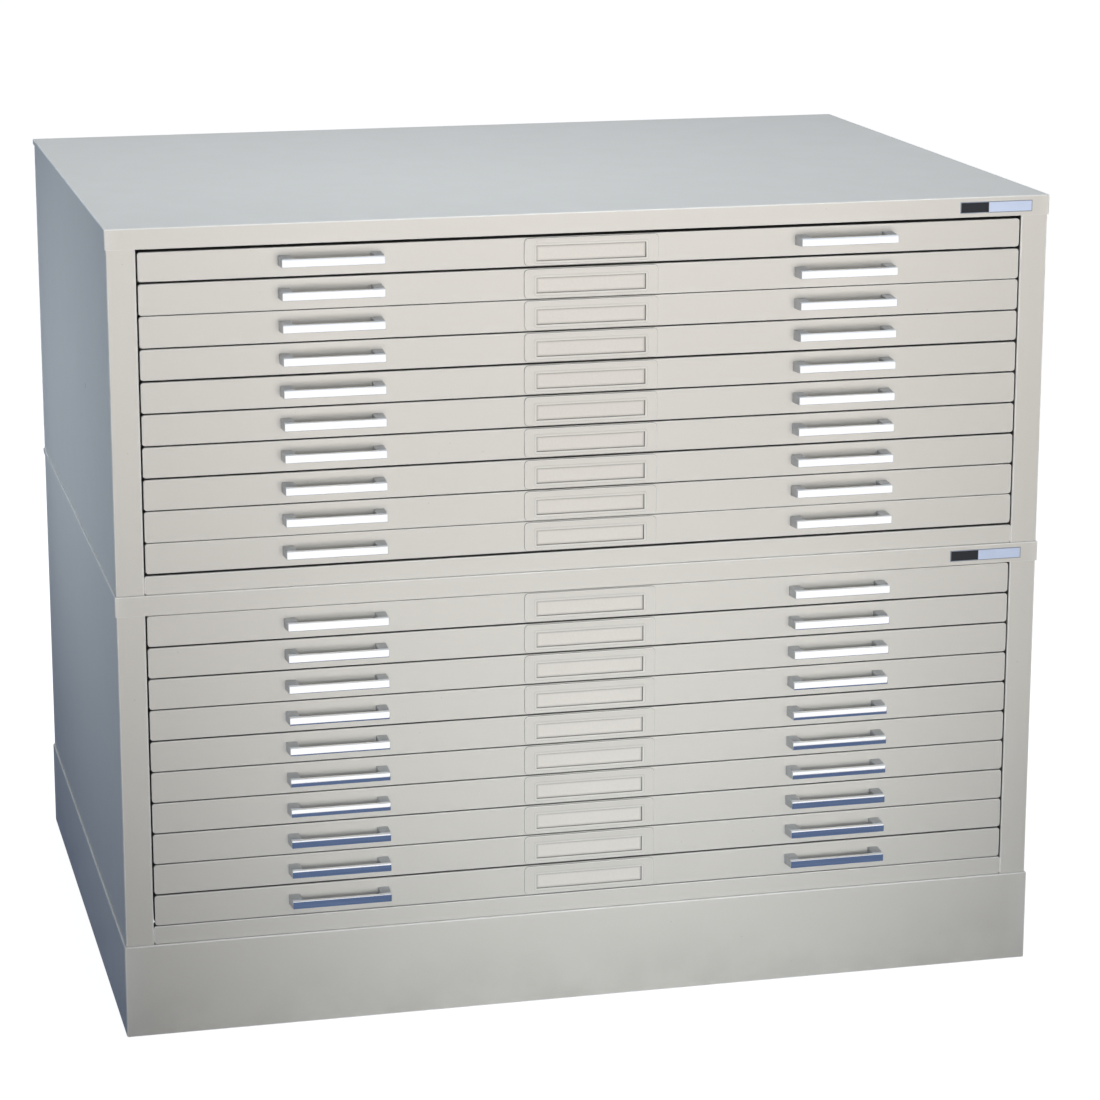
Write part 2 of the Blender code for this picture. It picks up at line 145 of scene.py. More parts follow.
# Stage: tints of the lights, the camera, the floor, and the surround's tints on the right and the left
WARM, WHITE, COOL = (1.0, 0.984, 0.967), (1.0, 1.0, 1.0), (0.80, 0.93, 1.0)
COLD, SKY = (0.92, 0.98, 1.0), (0.83, 0.92, 1.0)
CAMERA_PLACE = (-0.8939, -3.7669, 1.4040)
CAMERA_TURN = (76.614, 0.143, -13.150)
CAMERA_SHIFT = (0.0455, -0.0455)
CAMERA_FAR = 100.0
SENSOR_WIDTH = 36.0
FLOOR_REACH = 30.0
FLOOR_DROP = 0.0002
SLATE_EDGE = (-1.20, -1.16)
SLATE_DARK, SLATE_LIGHT = (0.078, 0.115, 0.215), (0.11, 0.155, 0.26)
FLOOR_SEEN, FLOOR_GLOW = (0.45, 0.45, 0.45), 0.90
FLOOR_LIT, MIRRORED_GLOW = (0.24, 0.245, 0.26), 1.1
SURROUND_TINTS = ((0.90, 0.95, 1.0), (0.46, 0.53, 0.62))
MIRRORED_SURROUND = 0.9


def metres(name, description, default):
    """A length for a property group."""
    return FloatProperty(name=name, description=description, default=default, unit="LENGTH")


def watts(name, description, default):
    """A light's power for a property group."""
    return FloatProperty(name=name, description=description, default=default, unit="POWER")


def linear_colour(name, description, default):
    """A scene-linear colour for a property group."""
    return FloatVectorProperty(
        name=name, description=description, default=default, subtype="COLOR", min=0.0, max=1.0
    )


class CaseSizes(bpy.types.PropertyGroup):
    """Sizes of the folded case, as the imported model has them."""

    post_width: metres("Post width", "Face of a front post", 0.0302)
    post_return: metres("Post return", "Depth of the post's inner flange", 0.0140)
    rear_flange: metres("Rear flange", "Width of the flange at the back", 0.0160)
    lip: metres("Cap lip", "Height of the cap's lip over the sides", 0.0060)
    header: metres("Header", "Height of the cap's front face", 0.0219)
    sheet: metres("Sheet", "Thickness of the case sheet", 0.0009)
    base_sheet: metres("Base sheet", "Thickness of the base sheet", 0.0015)
    base_top_flange: metres("Base top flange", "Width of the base's upper flange", 0.0340)
    base_foot_flange: metres("Base foot flange", "Width of the base's foot flange", 0.0180)
    fold: metres("Fold radius", "Outer radius of a fold in sheet", 0.0014)
    buckle: metres("Buckle", "How far a large sheet strays from flat", 0.00035)


class DrawerSizes(bpy.types.PropertyGroup):
    """Sizes of a drawer's front, card holder and card."""

    pan_depth: metres("Pan depth", "Depth of the folded front", 0.0140)
    corner: metres("Corner", "Corner radius of the front", 0.0032)
    fold: metres("Fold radius", "Outer radius round the front's face", 0.0009)
    holder_width: metres("Holder width", "Width of the card holder", 0.1458)
    holder_margin: metres("Holder margin", "Front left above and below the holder", 0.0009)
    holder_proud: metres("Holder height", "How far the holder stands proud", 0.0014)
    holder_corner: metres("Holder corner", "Corner radius of the holder", 0.0050)
    pocket: metres("Pocket", "Depth of the card's seat behind the front's face", 0.0011)
    card_width: metres("Card width", "Width of the window for the card", 0.1194)
    card_height: metres("Card height", "Height of the window for the card", 0.0166)
    card_drop: metres("Card drop", "Window's middle below the front's middle", 0.0018)


class PullSizes(bpy.types.PropertyGroup):
    """Sizes of a bar pull."""

    length: metres("Length", "Length over the feet", 0.1080)
    reach: metres("Reach", "From the front's face to the bar's face", 0.0220)
    height: metres("Height", "Height of the bar", 0.0085)
    bar: metres("Bar depth", "Depth of the bar", 0.0050)
    foot: metres("Foot width", "Width of a foot", 0.0112)
    step: metres("Step", "How far a foot stands above and below the bar", 0.0006)
    flare: metres("Flare", "How much further out a foot is at its seat", 0.0007)
    edge: metres("Edge", "Radius along the bar's edges", 0.0005)
    crown: metres("Crown", "Height of the bar's slightly rounded face", 0.00009)
    offset: metres("Offset", "Pull's middle from the drawer's middle", 0.2795)
    lift: metres("Lift", "Pull's middle above the front's middle", 0.0008)
    play: FloatProperty(
        name="Play", description="Most that a pull is turned on its screws, in degrees", default=1.0
    )


class FinishColours(bpy.types.PropertyGroup):
    """Colours of the finishes, as scene-linear values."""

    enamel: linear_colour("Enamel", "Putty enamel of the case and the fronts", (0.655, 0.625, 0.575))
    tray: linear_colour("Tray enamel", "Thinner enamel inside the drawers", (0.52, 0.50, 0.46))
    zinc: linear_colour("Zinc", "Plated runners", (0.55, 0.56, 0.57))
    chrome: linear_colour("Chrome", "Polished bars of the pulls", (0.93, 0.94, 0.96))
    satin: linear_colour("Satin", "Feet of the pulls", (0.52, 0.54, 0.57))
    card: linear_colour("Card", "Blank cards", (0.73, 0.69, 0.64))
    plate_light: linear_colour("Plate, light part", "Satin part of the bare plates", (0.60, 0.68, 0.86))
    plate_dark: linear_colour("Plate, dark part", "Black part of the bare plates", (0.012, 0.013, 0.017))


class StageSettings(bpy.types.PropertyGroup):
    """Lights and lens."""

    front_power: watts("Front light", "Power of the large light before the cabinet", 12.1)
    low_power: watts("Low light", "Power of the narrow light on the base", 0.96)
    left_power: watts("Left light", "Power of the light on the left side, from behind", 2.3)
    right_power: watts("Right light", "Power of the light on the right side", 2.8)
    top_power: watts("Top light", "Power of the light over the roof", 5.2)
    back_power: watts("Back light", "Power of the light behind the cabinet", 9.0)
    sky_strength: FloatProperty(
        name="Surround", description="Strength of the light from all round", default=0.33
    )
    lens: FloatProperty(
        name="Lens", description="Focal length on a 36 mm wide picture", default=110.64, unit="CAMERA"
    )


# Arrays of points: profiles, rings and the surfaces carried along them


def points_from(*coordinates):
    """Points from an array for each coordinate, broadcast together."""
    return np.stack(np.broadcast_arrays(*coordinates), axis=-1)


def arc(centre, radius, start, end, steps):
    """Points centre + radius * (cos t, sin t), t running evenly from start to end in degrees."""
    t = np.radians(np.linspace(start, end, steps + 1))
    return points_from(centre[0] + radius * np.cos(t), centre[1] + radius * np.sin(t))


def rounded_rectangle(half_a, half_b, radius, edge_steps=1):
    """Loops of points round rounded rectangles, one loop for each value in the arrays given.

    A corner is its centre plus radius * (cos t, sin t), t growing by 90 degrees from corner to corner. An
    edge between two corners is divided evenly into edge_steps.
    """
    half_a, half_b, radius = (
        np.asarray(value, float)[..., None] for value in np.broadcast_arrays(half_a, half_b, radius)
    )
    corners = []
    for quarter, (sign_a, sign_b) in enumerate(((1, 1), (-1, 1), (-1, -1), (1, -1))):
        t = np.radians(np.linspace(0, 90, CORNER_STEPS + 1) + 90 * quarter)
        a = sign_a * (half_a - radius) + radius * np.cos(t)
        b = sign_b * (half_b - radius) + radius * np.sin(t)
        corners.append(points_from(a, b))
    share = np.linspace(0, 1, edge_steps + 1)[1:-1, None]
    parts = []
    for corner, following in zip(corners, corners[1:] + corners[:1]):
        parts += [corner, corner[..., -1:, :] * (1 - share) + following[..., :1, :] * share]
    return np.concatenate(parts, axis=-2)


def loft(rings, origin, axes=FACE_AXES, edge_steps=1):
    """Grid of a loft through rounded rectangles.

    Each ring is (half size along a, half size along b, corner radius, shift along b, depth), and a point
    is origin + a * first axis + (b + shift) * second axis + depth * third axis.
    """
    rings = np.asarray(rings, float)
    loops = rounded_rectangle(rings[:, 0], rings[:, 1], rings[:, 2], edge_steps)
    a, b, depth = loops[..., :1], loops[..., 1:] + rings[:, None, 3:4], rings[:, None, 4:]
    a_axis, b_axis, depth_axis = np.asarray(axes, float)
    return np.asarray(origin, float) + a * a_axis + b * b_axis + depth * depth_axis


def inset_rings(half_a, half_b, radius, profile, shift=0.0):
    """Rings for loft() from a profile of (inset, depth): each inset shrinks the outline and its corners."""
    inset, depth = np.asarray(profile, float).T
    return points_from(half_a - inset, half_b - inset, np.clip(radius - inset, 0.0, None), shift, depth)


def bent_line(points, radius):
    """A line through points with each inner corner replaced by an arc of the given radius.

    The arc starts and ends at radius * tan(turn / 2) from the corner, and its points are the corner's two
    directions blended by sine and cosine.
    """
    points = np.asarray(points, float)
    pieces = [points[:1]]
    for before, corner, after in zip(points, points[1:], points[2:]):
        towards = (before - corner) / np.linalg.norm(before - corner)
        away = (after - corner) / np.linalg.norm(after - corner)
        turn = math.pi - math.acos(float(np.clip(towards @ away, -1, 1)))
        reach = radius * math.tan(turn / 2)
        start, end = corner + towards * reach, corner + away * reach
        middle = towards + away
        centre = corner + middle / np.linalg.norm(middle) * radius / math.cos(turn / 2)
        t = np.linspace(0, turn, FOLD_STEPS + 1)[:, None]
        first = start - centre
        across = (end - centre - first * math.cos(turn)) / math.sin(turn)
        hold = min(EDGE_HOLD, reach)
        pieces.append([start + towards * hold])
        pieces.append(centre + first * np.cos(t) + across * np.sin(t))
        pieces.append([end + away * hold])
    pieces.append(points[-1:])
    return np.concatenate(pieces)


def thick_line(line, thickness):
    """Outer line, middle line and inner line of a sheet that lies to the left of an open line.

    Each point is moved along the mean of its two neighbouring normals, lengthened by one over the cosine
    of half the turn, so that the sheet keeps its thickness.
    """
    along = np.diff(line, axis=0)
    along /= np.linalg.norm(along, axis=1, keepdims=True)
    after = np.concatenate([along, along[-1:]])
    mean = np.concatenate([along[:1], along]) + after
    mean /= np.linalg.norm(mean, axis=1, keepdims=True)
    stretch = 1.0 / np.clip((mean * after).sum(1, keepdims=True), 0.3, 1.0)
    normal = points_from(-mean[:, 1], mean[:, 0]) * stretch
    return line, line + normal * thickness / 2, line + normal * thickness


def carried_sheet(line, thickness, stations, place):
    """Grid of a folded sheet: the thick line's closed section carried through the stations.

    place(a, b, s) turns section coordinates and a station into points. The first and last section are
    drawn together to the sheet's middle, which closes both ends.
    """
    outer, middle, inner = thick_line(np.asarray(line, float), thickness)
    full = np.concatenate([outer, inner[::-1]])
    shut = np.concatenate([middle, middle[::-1]])
    sections = np.stack([shut] + [full] * len(stations) + [shut])
    along = np.concatenate([[stations[0]], stations, [stations[-1]]])
    return place(sections[..., 0], sections[..., 1], along[:, None])


def buckle(a, b, seed):
    """Gentle waves of a large sheet, from -1 to 1, dying out at its borders.

    a and b run from 0 to 1 over the sheet. Two products of sines with periods near the sheet's size are
    added and multiplied by sin(pi a) * sin(pi b).
    """
    window = np.sin(np.pi * np.clip(a, 0, 1)) * np.sin(np.pi * np.clip(b, 0, 1))
    long_wave = np.sin(2.6 * np.pi * a + seed) * np.cos(1.7 * np.pi * b + 0.7 * seed)
    short_wave = 0.4 * np.sin(5.3 * np.pi * a + 2 * seed) * np.sin(4.1 * np.pi * b + 1.3 * seed)
    return window * (long_wave + short_wave)


def fade(share, steepness):
    """1 over a sheet's middle, falling to 0 at its borders: sin(pi share) * steepness, at most 1."""
    return np.clip(np.sin(np.pi * np.clip(share, 0, 1)) * steepness, 0, 1)


def uneven(index, seed):
    """A fixed number from -1 to 1 for a piece's unevenness: the sine of seed * (index + 1) squared."""
    return math.sin(seed * (index + 1) ** 2)


# Meshes


def grid_quads(rows, columns, close_rows, close_columns):
    """Corner indices of the quads that join a grid of points, with rows or columns joined into rings."""
    r = np.arange(rows if close_rows else rows - 1)
    c = np.arange(columns if close_columns else columns - 1)
    r, c = np.meshgrid(r, c, indexing="ij")
    below, beside = (r + 1) % rows, (c + 1) % columns
    corners = [r * columns + c, below * columns + c, below * columns + beside, r * columns + beside]
    return np.stack(corners, axis=-1).reshape(-1, 4)


def shell(points, mark=0.0, close_rows=False):
    """Points, outward quads and point marks of a closed surface. Its signed volume tells how it is wound."""
    quads = grid_quads(*points.shape[:2], close_rows, True)
    flat = points.reshape(-1, 3)
    corner = (flat - flat.mean(0))[quads]
    volume = sum(
        np.einsum("ij,ij->i", corner[:, 0], np.cross(corner[:, i], corner[:, i + 1])).sum() for i in (1, 2)
    )
    return flat, quads if volume > 0 else quads[:, ::-1], np.broadcast_to(mark, points.shape[:2]).ravel()


def read(collection, name, width, kind=float):
    """One property of all of a mesh's elements as an array."""
    values = np.empty(len(collection) * width, kind)
    collection.foreach_get(name, values)
    return values.reshape(-1, width) if width > 1 else values


def store(mesh, name, values):
    """Keep one number for each point under a name that the materials read."""
    attribute = mesh.attributes.new(name, "FLOAT", "POINT")
    attribute.data.foreach_set("value", np.asarray(values, np.float32))


def mark_edges(mesh):
    """Store how far the surface turns at each point: above 0 where it bulges, below 0 where it is hollow.

    An edge's turn is the angle between its two faces over EDGE_TURN, at most 1. It counts as hollow where
    the second face's centre lies in front of the first face. A point keeps the strongest of its edges.
    """
    normals, centres = read(mesh.polygons, "normal", 3), read(mesh.polygons, "center", 3)
    owner = np.repeat(np.arange(len(mesh.polygons)), read(mesh.polygons, "loop_total", 1, np.int32))
    edge_of = read(mesh.loops, "edge_index", 1, np.int32)
    order = np.argsort(edge_of, kind="stable")
    pair = np.flatnonzero(edge_of[order][:-1] == edge_of[order][1:])
    one, two = owner[order[pair]], owner[order[pair + 1]]
    cosine = np.clip((normals[one] * normals[two]).sum(1), -1, 1)
    turn = np.minimum(np.degrees(np.arccos(cosine)) / EDGE_TURN, 1.0)
    in_front = ((centres[two] - centres[one]) * normals[one]).sum(1) > 0
    turn = np.where(in_front, -turn, turn)
    ends = read(mesh.edges, "vertices", 2, np.int32)[edge_of[order[pair]]]
    high, low = np.zeros(len(mesh.vertices)), np.zeros(len(mesh.vertices))
    for end in ends.T:
        np.maximum.at(high, end, turn)
        np.minimum.at(low, end, turn)
    store(mesh, "edge", np.where(high >= -low, high, low))


def new_object(name, data):
    """Make an object of its data and link it to the scene."""
    obj = bpy.data.objects.new(name, data)
    bpy.context.scene.collection.objects.link(obj)
    return obj


def make_piece(name, shells, material, body, replaces=(), mark="hollow"):
    """Join shells into one mesh object at the origin, with doubles merged, and let it ride on a body."""
    offsets = np.cumsum([0] + [len(part[0]) for part in shells])
    points = np.concatenate([part[0] for part in shells])
    quads = np.concatenate([part[1] + offset for part, offset in zip(shells, offsets)])
    mesh = bpy.data.meshes.new(name)
    mesh.from_pydata(points.tolist(), [], quads.tolist(), shade_flat=False)
    store(mesh, mark, np.concatenate([part[2] for part in shells]))
    bm = bmesh.new()
    bm.from_mesh(mesh)
    bmesh.ops.remove_doubles(bm, verts=bm.verts[:], dist=MERGE_DISTANCE)
    bmesh.ops.dissolve_degenerate(bm, edges=bm.edges[:], dist=NO_LENGTH)
    bm.to_mesh(mesh)
    bm.free()
    mark_edges(mesh)
    mesh.materials.append(material)
    mesh.shade_smooth()
    mesh.set_sharp_from_angle(angle=math.radians(SHARP_TURN))
    piece = new_object(name, mesh)
    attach(piece, body)
    if replaces:
        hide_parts(*replaces)


# Shapes of the pieces


def gap_shade_mark(depth):
    """Painted shade for a surface in a gap: 0 down to GAP_LIGHT behind the face, 1 from GAP_DARK on."""
    return np.clip((np.asarray(depth, float) - GAP_LIGHT) / (GAP_DARK - GAP_LIGHT), 0, 1)


def pan_profile(start, depth, fold, sheet):
    """(inset, depth) of a folded pan's section: face from start outwards, fold, return, and back inside."""
    inner = arc((fold, fold), max(fold - sheet, SMALLEST), -180, -90, FOLD_STEPS)
    return np.concatenate(
        [
            [[start, 0.0], [fold + EDGE_HOLD, 0.0]],
            arc((fold, fold), fold, -90, -180, FOLD_STEPS),
            [[0.0, fold + EDGE_HOLD], [0.0, GAP_DARK], [0.0, depth]],
            [[sheet, depth], [sheet, fold + EDGE_HOLD]],
            np.clip(inner, sheet, None),
            [[start, sheet]],
        ]
    )


def pan_shell(low, high, sizes, face_y, window=None):
    """Shell of a folded pan between two heights, its face at face_y, solid or with a window.

    Its section is carried round rounded rectangles. Without a window it starts and ends on the face's
    middle line. With one, it starts and ends on the window's outline (half sizes, radius, shift).
    """
    half_a, half_b = (high[0] - low[0]) / 2, (high[2] - low[2]) / 2
    profile = pan_profile(half_b, sizes.pan_depth, sizes.fold, bpy.context.scene.flat_file_case.sheet)
    rings = inset_rings(half_a, half_b, sizes.corner, profile)
    if window:
        rings = rings[[0, 0, *range(1, len(rings) - 1), -1, -1]]
        rings[[0, -1], :4] = window
        rings[[1, -2], :4] = np.array([EDGE_HOLD, EDGE_HOLD, EDGE_HOLD, 0.0]) + window
    origin = ((low[0] + high[0]) / 2, face_y, (low[2] + high[2]) / 2)
    points = loft(rings, origin, edge_steps=8)
    # The marks paint shade on the pan's surfaces behind its face, darker deeper in the gap.
    return shell(points, gap_shade_mark(points[..., 1] - face_y), close_rows=bool(window))


def soft_edge(thickness, radius, steps):
    """(inset, depth) from the foot of a raised plate's rounded edge to just inside the edge."""
    start = radius - thickness
    return [(0.0, start), *arc((radius, start), radius, 180, 270, steps), (radius + EDGE_HOLD, -thickness)]


def window_ring(sizes, wider=0.0):
    """Half sizes, corner radius and shift of the card's window, or of an outline wider all round."""
    half_a, half_b = sizes.card_width / 2 + wider, sizes.card_height / 2 + wider
    return half_a, half_b, WINDOW_CORNER + wider, -sizes.card_drop


def holder_shell(middle, height, sizes):
    """Shell of a card holder: a frame with a soft outer edge and a shallow bevel, and the card's pocket.

    It is a loft through rounded rectangles: from the pocket's underside out under the frame, round its
    edge, over its face and the bevel, and down the window's wall to the pocket's floor.
    """
    half_a, half_b = sizes.holder_width / 2, height / 2 - sizes.holder_margin
    proud, pocket = sizes.holder_proud, sizes.pocket
    wall, seam, step, edge_radius = 0.0005, 0.00045, 0.00024, 0.0007
    profile = [(-seam, 0.0), (-seam, -0.00003), (0.0, -0.00008), *soft_edge(proud, edge_radius, steps=4)]
    outer = inset_rings(half_a, half_b, sizes.holder_corner, profile)
    centre_line = ((sizes.card_width - sizes.card_height) / 2, 0.0, 0.0, -sizes.card_drop)
    under = [
        (*centre_line, pocket + wall),
        (*window_ring(sizes, wall), pocket + wall),
        (*window_ring(sizes, wall), 0.0),
    ]
    # Distance from the window and depth behind the holder's face: a step, a flat, and a rounded edge
    distances = (0.0034, 0.0031, 0.0027, 0.0024, 0.0006, 0.0003, 0.0001, 0.0)
    depths = (0.0, 0.0, step, step, step, step + 0.00005, step + 0.00018, step + 0.0004)
    face = [(*window_ring(sizes, wider), behind - proud) for wider, behind in zip(distances, depths)]
    face += [(*window_ring(sizes), pocket), (*centre_line, pocket)]
    rings = np.concatenate([under, outer, face])
    # Painted shade sits in the seam round the frame, at the foot of the step and in the pocket's corner.
    mark = np.zeros((len(rings), 1))
    mark[len(under) + 1 : len(under) + 4, 0] = (0.35, 0.9, 0.5)
    mark[-8, 0] = 0.3
    mark[-3:, 0] = (0.25, 1.0, 0.6)
    return shell(loft(rings, middle, edge_steps=4), mark)


def card_shell(middle, sizes):
    """Shell of a blank card in the holder's pocket, bowed out by a parabola along its length.

    Each ring has its inset, its place before the pocket's floor and how much painted shade it gets at the
    pocket's edge.
    """
    play_x, play_z, corner, thickness, bow = 0.0004, 0.0003, 0.0004, 0.0003, 0.00025
    half_a, half_b = sizes.card_width / 2 - play_x, sizes.card_height / 2 - play_z
    inset = np.array([half_b, 0.0, 0.0, EDGE_HOLD, 0.0011, 0.0026, half_b])
    place = sizes.pocket - thickness * np.array([0, 0, 1, 1, 1, 1, 1])
    # Painted shade at the card's rim, where the pocket's walls stand over it.
    dirt = np.array([1.0, 1.0, 1.0, 0.8, 0.3, 0.0, 0.0])[:, None]
    rings = inset_rings(half_a, half_b, corner, points_from(inset, place), -sizes.card_drop)
    points = loft(rings, middle, edge_steps=16)
    across = (points[..., 0] - middle[0]) / half_a
    points[..., 1] -= bow * (1 - across**2)
    return shell(points, dirt)


def closed_ends(points):
    """A grid of rings with a ring drawn together to its middle added at each end."""
    ends = points[[0, -1]].mean(axis=1, keepdims=True) + np.zeros((2, points.shape[1], 1))
    return np.concatenate([ends[:1], points, ends[1:]])


def pull_bar(sizes):
    """Grid and marks of a pull's bar, a rounded rectangle carried along x.

    The section's insets round both ends. The face is crowned by 1 - b squared over the height b. The mark
    is 1 on the polished bar and 0 on its ends.
    """
    half, high, deep = sizes.length / 2, sizes.height / 2, sizes.bar / 2
    end_inset, end_place = sizes.edge * np.array([[1.0, 0.3, 0.0, 0.0], [0.0, 0.3, 1.0, 1.6]])
    along = np.linspace(-1, 1, 10)[1:-1] * (half - end_place[-1])
    inset = np.concatenate([end_inset, 0 * along, end_inset[::-1]])
    x = np.concatenate([end_place - half, along, half - end_place[::-1]])
    section = rounded_rectangle(deep - inset, high - inset, sizes.edge - inset, edge_steps=6)
    a, b = section[..., 0], section[..., 1]
    rise = np.clip(1 - (b / (high - sizes.edge)) ** 2, 0, 1)
    a = a + (rise - 1) * (a > 0) * sizes.crown
    points = closed_ends(points_from(x[:, None], deep - sizes.reach - a, b))
    mark = np.ones((len(points), 1))
    mark[[0, 1, 2, -3, -2, -1]] = 0.0
    return points, mark


def pull_foot(sizes, side):
    """Grid of a pull's foot, a rounded rectangle that narrows evenly from its seat to the bar's back.

    Its inner side stays upright, and its other three sides are further out at the seat by the flare.
    """
    share = np.array([0.0, 0.02, 0.3, 0.6, 0.93, 0.985, 1.0])
    inset = sizes.edge * np.array([0.0, 0.0, 0.0, 0.0, 0.0, 0.35, 1.2])
    flare = sizes.flare * (1 - share)
    outer, inner = sizes.length / 2 + flare - inset, sizes.length / 2 - sizes.foot + inset
    high = sizes.height / 2 + sizes.step + flare - inset
    section = rounded_rectangle((outer - inner) / 2, high, 1.4 * sizes.edge, edge_steps=2)
    x = side * ((outer + inner) / 2)[:, None] + section[..., 0]
    y = -(share * (sizes.reach - sizes.bar))[:, None]
    return closed_ends(points_from(x, y, section[..., 1]))


def pull_shells(middle, sizes, tilt):
    """Shells of a pull, its bar and two feet, turned by tilt about its seat and moved to its place."""
    turn = np.array(Matrix.Rotation(tilt, 3, "X")).T
    bar, polish = pull_bar(sizes)
    feet = [shell(pull_foot(sizes, side) @ turn + middle) for _, side in SIDES]
    return [shell(bar @ turn + middle, polish)] + feet


def side_shell(low, high, side, case, seed):
    """Shell of a side panel: post flange, post, side and rear flange in one folded sheet, carried upwards."""
    outer = high[0] if side > 0 else -low[0]
    inner = outer - case.post_width
    front, back = low[1], high[1]
    corners = [(inner, front + case.post_return), (inner, front), (outer, front), (outer, back)]
    line = bent_line([*corners, (outer - case.rear_flange, back)], case.fold)
    line = np.insert(line, 1, (inner, front + GAP_DARK), axis=0)
    wall = np.flatnonzero(line[:, 0] > outer - SLACK)
    first, last = line[wall[0]], line[wall[-1]]
    share = np.linspace(0, 1, WALL_POINTS)[1:-1, None]
    line = np.concatenate([line[: wall[0] + 1], first * (1 - share) + last * share, line[wall[-1] :]])
    stations = np.linspace(low[2], high[2], WALL_STATIONS)[1:-1]
    stations = np.concatenate([[low[2], low[2] + EDGE_HOLD], stations, [high[2] - EDGE_HOLD, high[2]]])

    def place(x, y, z):
        """The folded section at a height, its side pushed in and out by the buckle."""
        wave = buckle((y - front) / (back - front), (z - low[2]) / (high[2] - low[2]), seed)
        wave = wave * (x > outer - 2 * case.sheet)
        return points_from(side * (x + wave * case.buckle - case.buckle), y, z)

    points = carried_sheet(line, case.sheet, stations, place)
    # Painted shade on the post's flange behind the opening, darker deeper in the gap.
    at_opening = side * points[..., 0] < inner + 2 * case.sheet
    return shell(points, at_opening * gap_shade_mark(points[..., 1] - front))


def cap_shells(low, high, case, seed):
    """Shells of a cap: roof, fold and a drop that is the header's height in front and a lip elsewhere.

    The roof's rings are its outline drawn in towards the middle. The header's flange is a sheet of its own.
    """
    sheet, fold = case.sheet, case.fold
    half, front, back = high[0], low[1], high[1]
    header_end = front + 2.4 * sheet
    across = np.linspace(-half + fold, half - fold, CAP_ACROSS)[1:-1]
    along = np.linspace(header_end, back - fold, CAP_ALONG)[1:-1]
    along = np.concatenate([[header_end, header_end + SMALLEST], along])
    outline = np.concatenate(
        [
            points_from(across, front),
            arc((half - fold, front + fold), fold, -90, 0, CORNER_STEPS),
            points_from(half, along),
            arc((half - fold, back - fold), fold, 0, 90, CORNER_STEPS),
            points_from(across[::-1], back),
            arc((-half + fold, back - fold), fold, 90, 180, CORNER_STEPS),
            points_from(-half, along[::-1]),
            arc((-half + fold, front + fold), fold, 180, 270, CORNER_STEPS),
        ]
    )
    drop = np.where(outline[:, 1] <= header_end + SLACK, case.header, case.lip)
    middle = np.array([0.0, (front + back) / 2])
    corner = np.array([half, (back - front) / 2])

    def ring(inset):
        """The outline drawn in towards the middle by the same length on every side."""
        limit = np.clip(corner - inset, 0.0, None)
        return middle + np.clip(outline - middle, -limit, limit)

    spread = np.linspace(0, 1, ROOF_RINGS)[:, None, None] ** 0.8
    roof = middle + (ring(fold + EDGE_HOLD) - middle) * spread
    rows = [(plan, 0.0) for plan in roof]
    turned = [*arc((fold, fold), fold, -90, -180, FOLD_STEPS), (0.0, fold + EDGE_HOLD)]
    edge = [(0.0, drop - EDGE_HOLD), (0.0, drop), (sheet, drop), (sheet, fold), (fold, sheet)]
    rows += [(ring(inset), depth) for inset, depth in turned + edge]
    rows += [(middle + (ring(fold) - middle) * share, sheet) for share in (0.6, 0.2, 0.0)]
    plan = np.stack([row for row, _ in rows])
    depth = np.stack([np.broadcast_to(value, len(outline)) for _, value in rows])
    x_share, y_share = (plan[..., 0] + half) / (2 * half), (plan[..., 1] - front) / (back - front)
    sag = (buckle(x_share, y_share, seed) - 1.0) * case.buckle * (depth < fold)
    z = high[2] - depth + sag * fade(y_share, 6) * fade(x_share, 8)
    # Painted shade, full, on the cap's inner faces from the drop's lower edge up under the roof.
    inside = np.zeros((len(rows), 1))
    inside[len(roof) + len(turned) + 2 :] = 1.0
    shells = [shell(points_from(plan[..., 0], plan[..., 1], z), inside)]

    # The flange starts behind the header, a fiftieth of the sheet clear of it.
    reach = half - case.post_width - FLANGE_MARGIN
    bottom = high[2] - case.header
    start, flange_z = front + 1.02 * sheet, bottom + 0.02 * sheet
    corners = [(start, bottom + 4 * sheet), (start, flange_z), (front + case.post_return, flange_z)]
    flange = bent_line(corners, 1.2 * sheet)
    flange = np.insert(flange, len(flange) - 1, (front + GAP_DARK, flange[-1, 1]), axis=0)
    stations = np.linspace(-reach, reach, 4)
    points = carried_sheet(flange, 0.9 * sheet, stations, lambda y, z, x: points_from(x, y, z))
    # Painted shade on the header's flange behind the face, darker deeper in the gap.
    return shells + [shell(points, gap_shade_mark(points[..., 1] - front))]


def base_shell(low, high, case):
    """Shell of the base: the section of flange, wall and foot flange carried round the outline's rings."""
    height = high[2] - low[2]
    corners = [(case.base_top_flange, height), (0.0, height), (0.0, 0.0), (case.base_foot_flange, 0.0)]
    outer, _, inner = thick_line(bent_line(corners, 1.15 * case.fold), case.base_sheet)
    section = np.concatenate([outer, inner[::-1]])
    rings = inset_rings((high[0] - low[0]) / 2, (high[1] - low[1]) / 2, 1.3 * case.fold, section)
    origin = ((low[0] + high[0]) / 2, (low[1] + high[1]) / 2, low[2])
    return shell(loft(rings, origin, PLAN_AXES, edge_steps=24), close_rows=True)


def plate_shell(middle, half_a, half_b):
    """Shell of a thin bare plate with softened edges."""
    thickness, corner, edge_radius = 0.0007, 0.0006, 0.0003
    edge = soft_edge(thickness, edge_radius, steps=3)
    profile = [(half_b, 0.0), (0.0, 0.0), *edge, (half_b, -thickness)]
    return shell(loft(inset_rings(half_a, half_b, corner, profile), middle))


# Shader node groups and materials


def add_node(tree, kind, inputs=None, **settings):
    """Add a shader node, set its properties, and link or set its inputs."""
    node = tree.nodes.new("ShaderNode" + kind)
    for name, value in settings.items():
        setattr(node, name, value)
    for key, value in (inputs or {}).items():
        if isinstance(value, bpy.types.NodeSocket):
            tree.links.new(value, node.inputs[key])
        else:
            node.inputs[key].default_value = value
    return node


def maths(tree, operation, a, b, clamp=False):
    """Add a Math node and return its result."""
    node = add_node(tree, "Math", {0: a, 1: b}, operation=operation, use_clamp=clamp)
    return node.outputs[0]


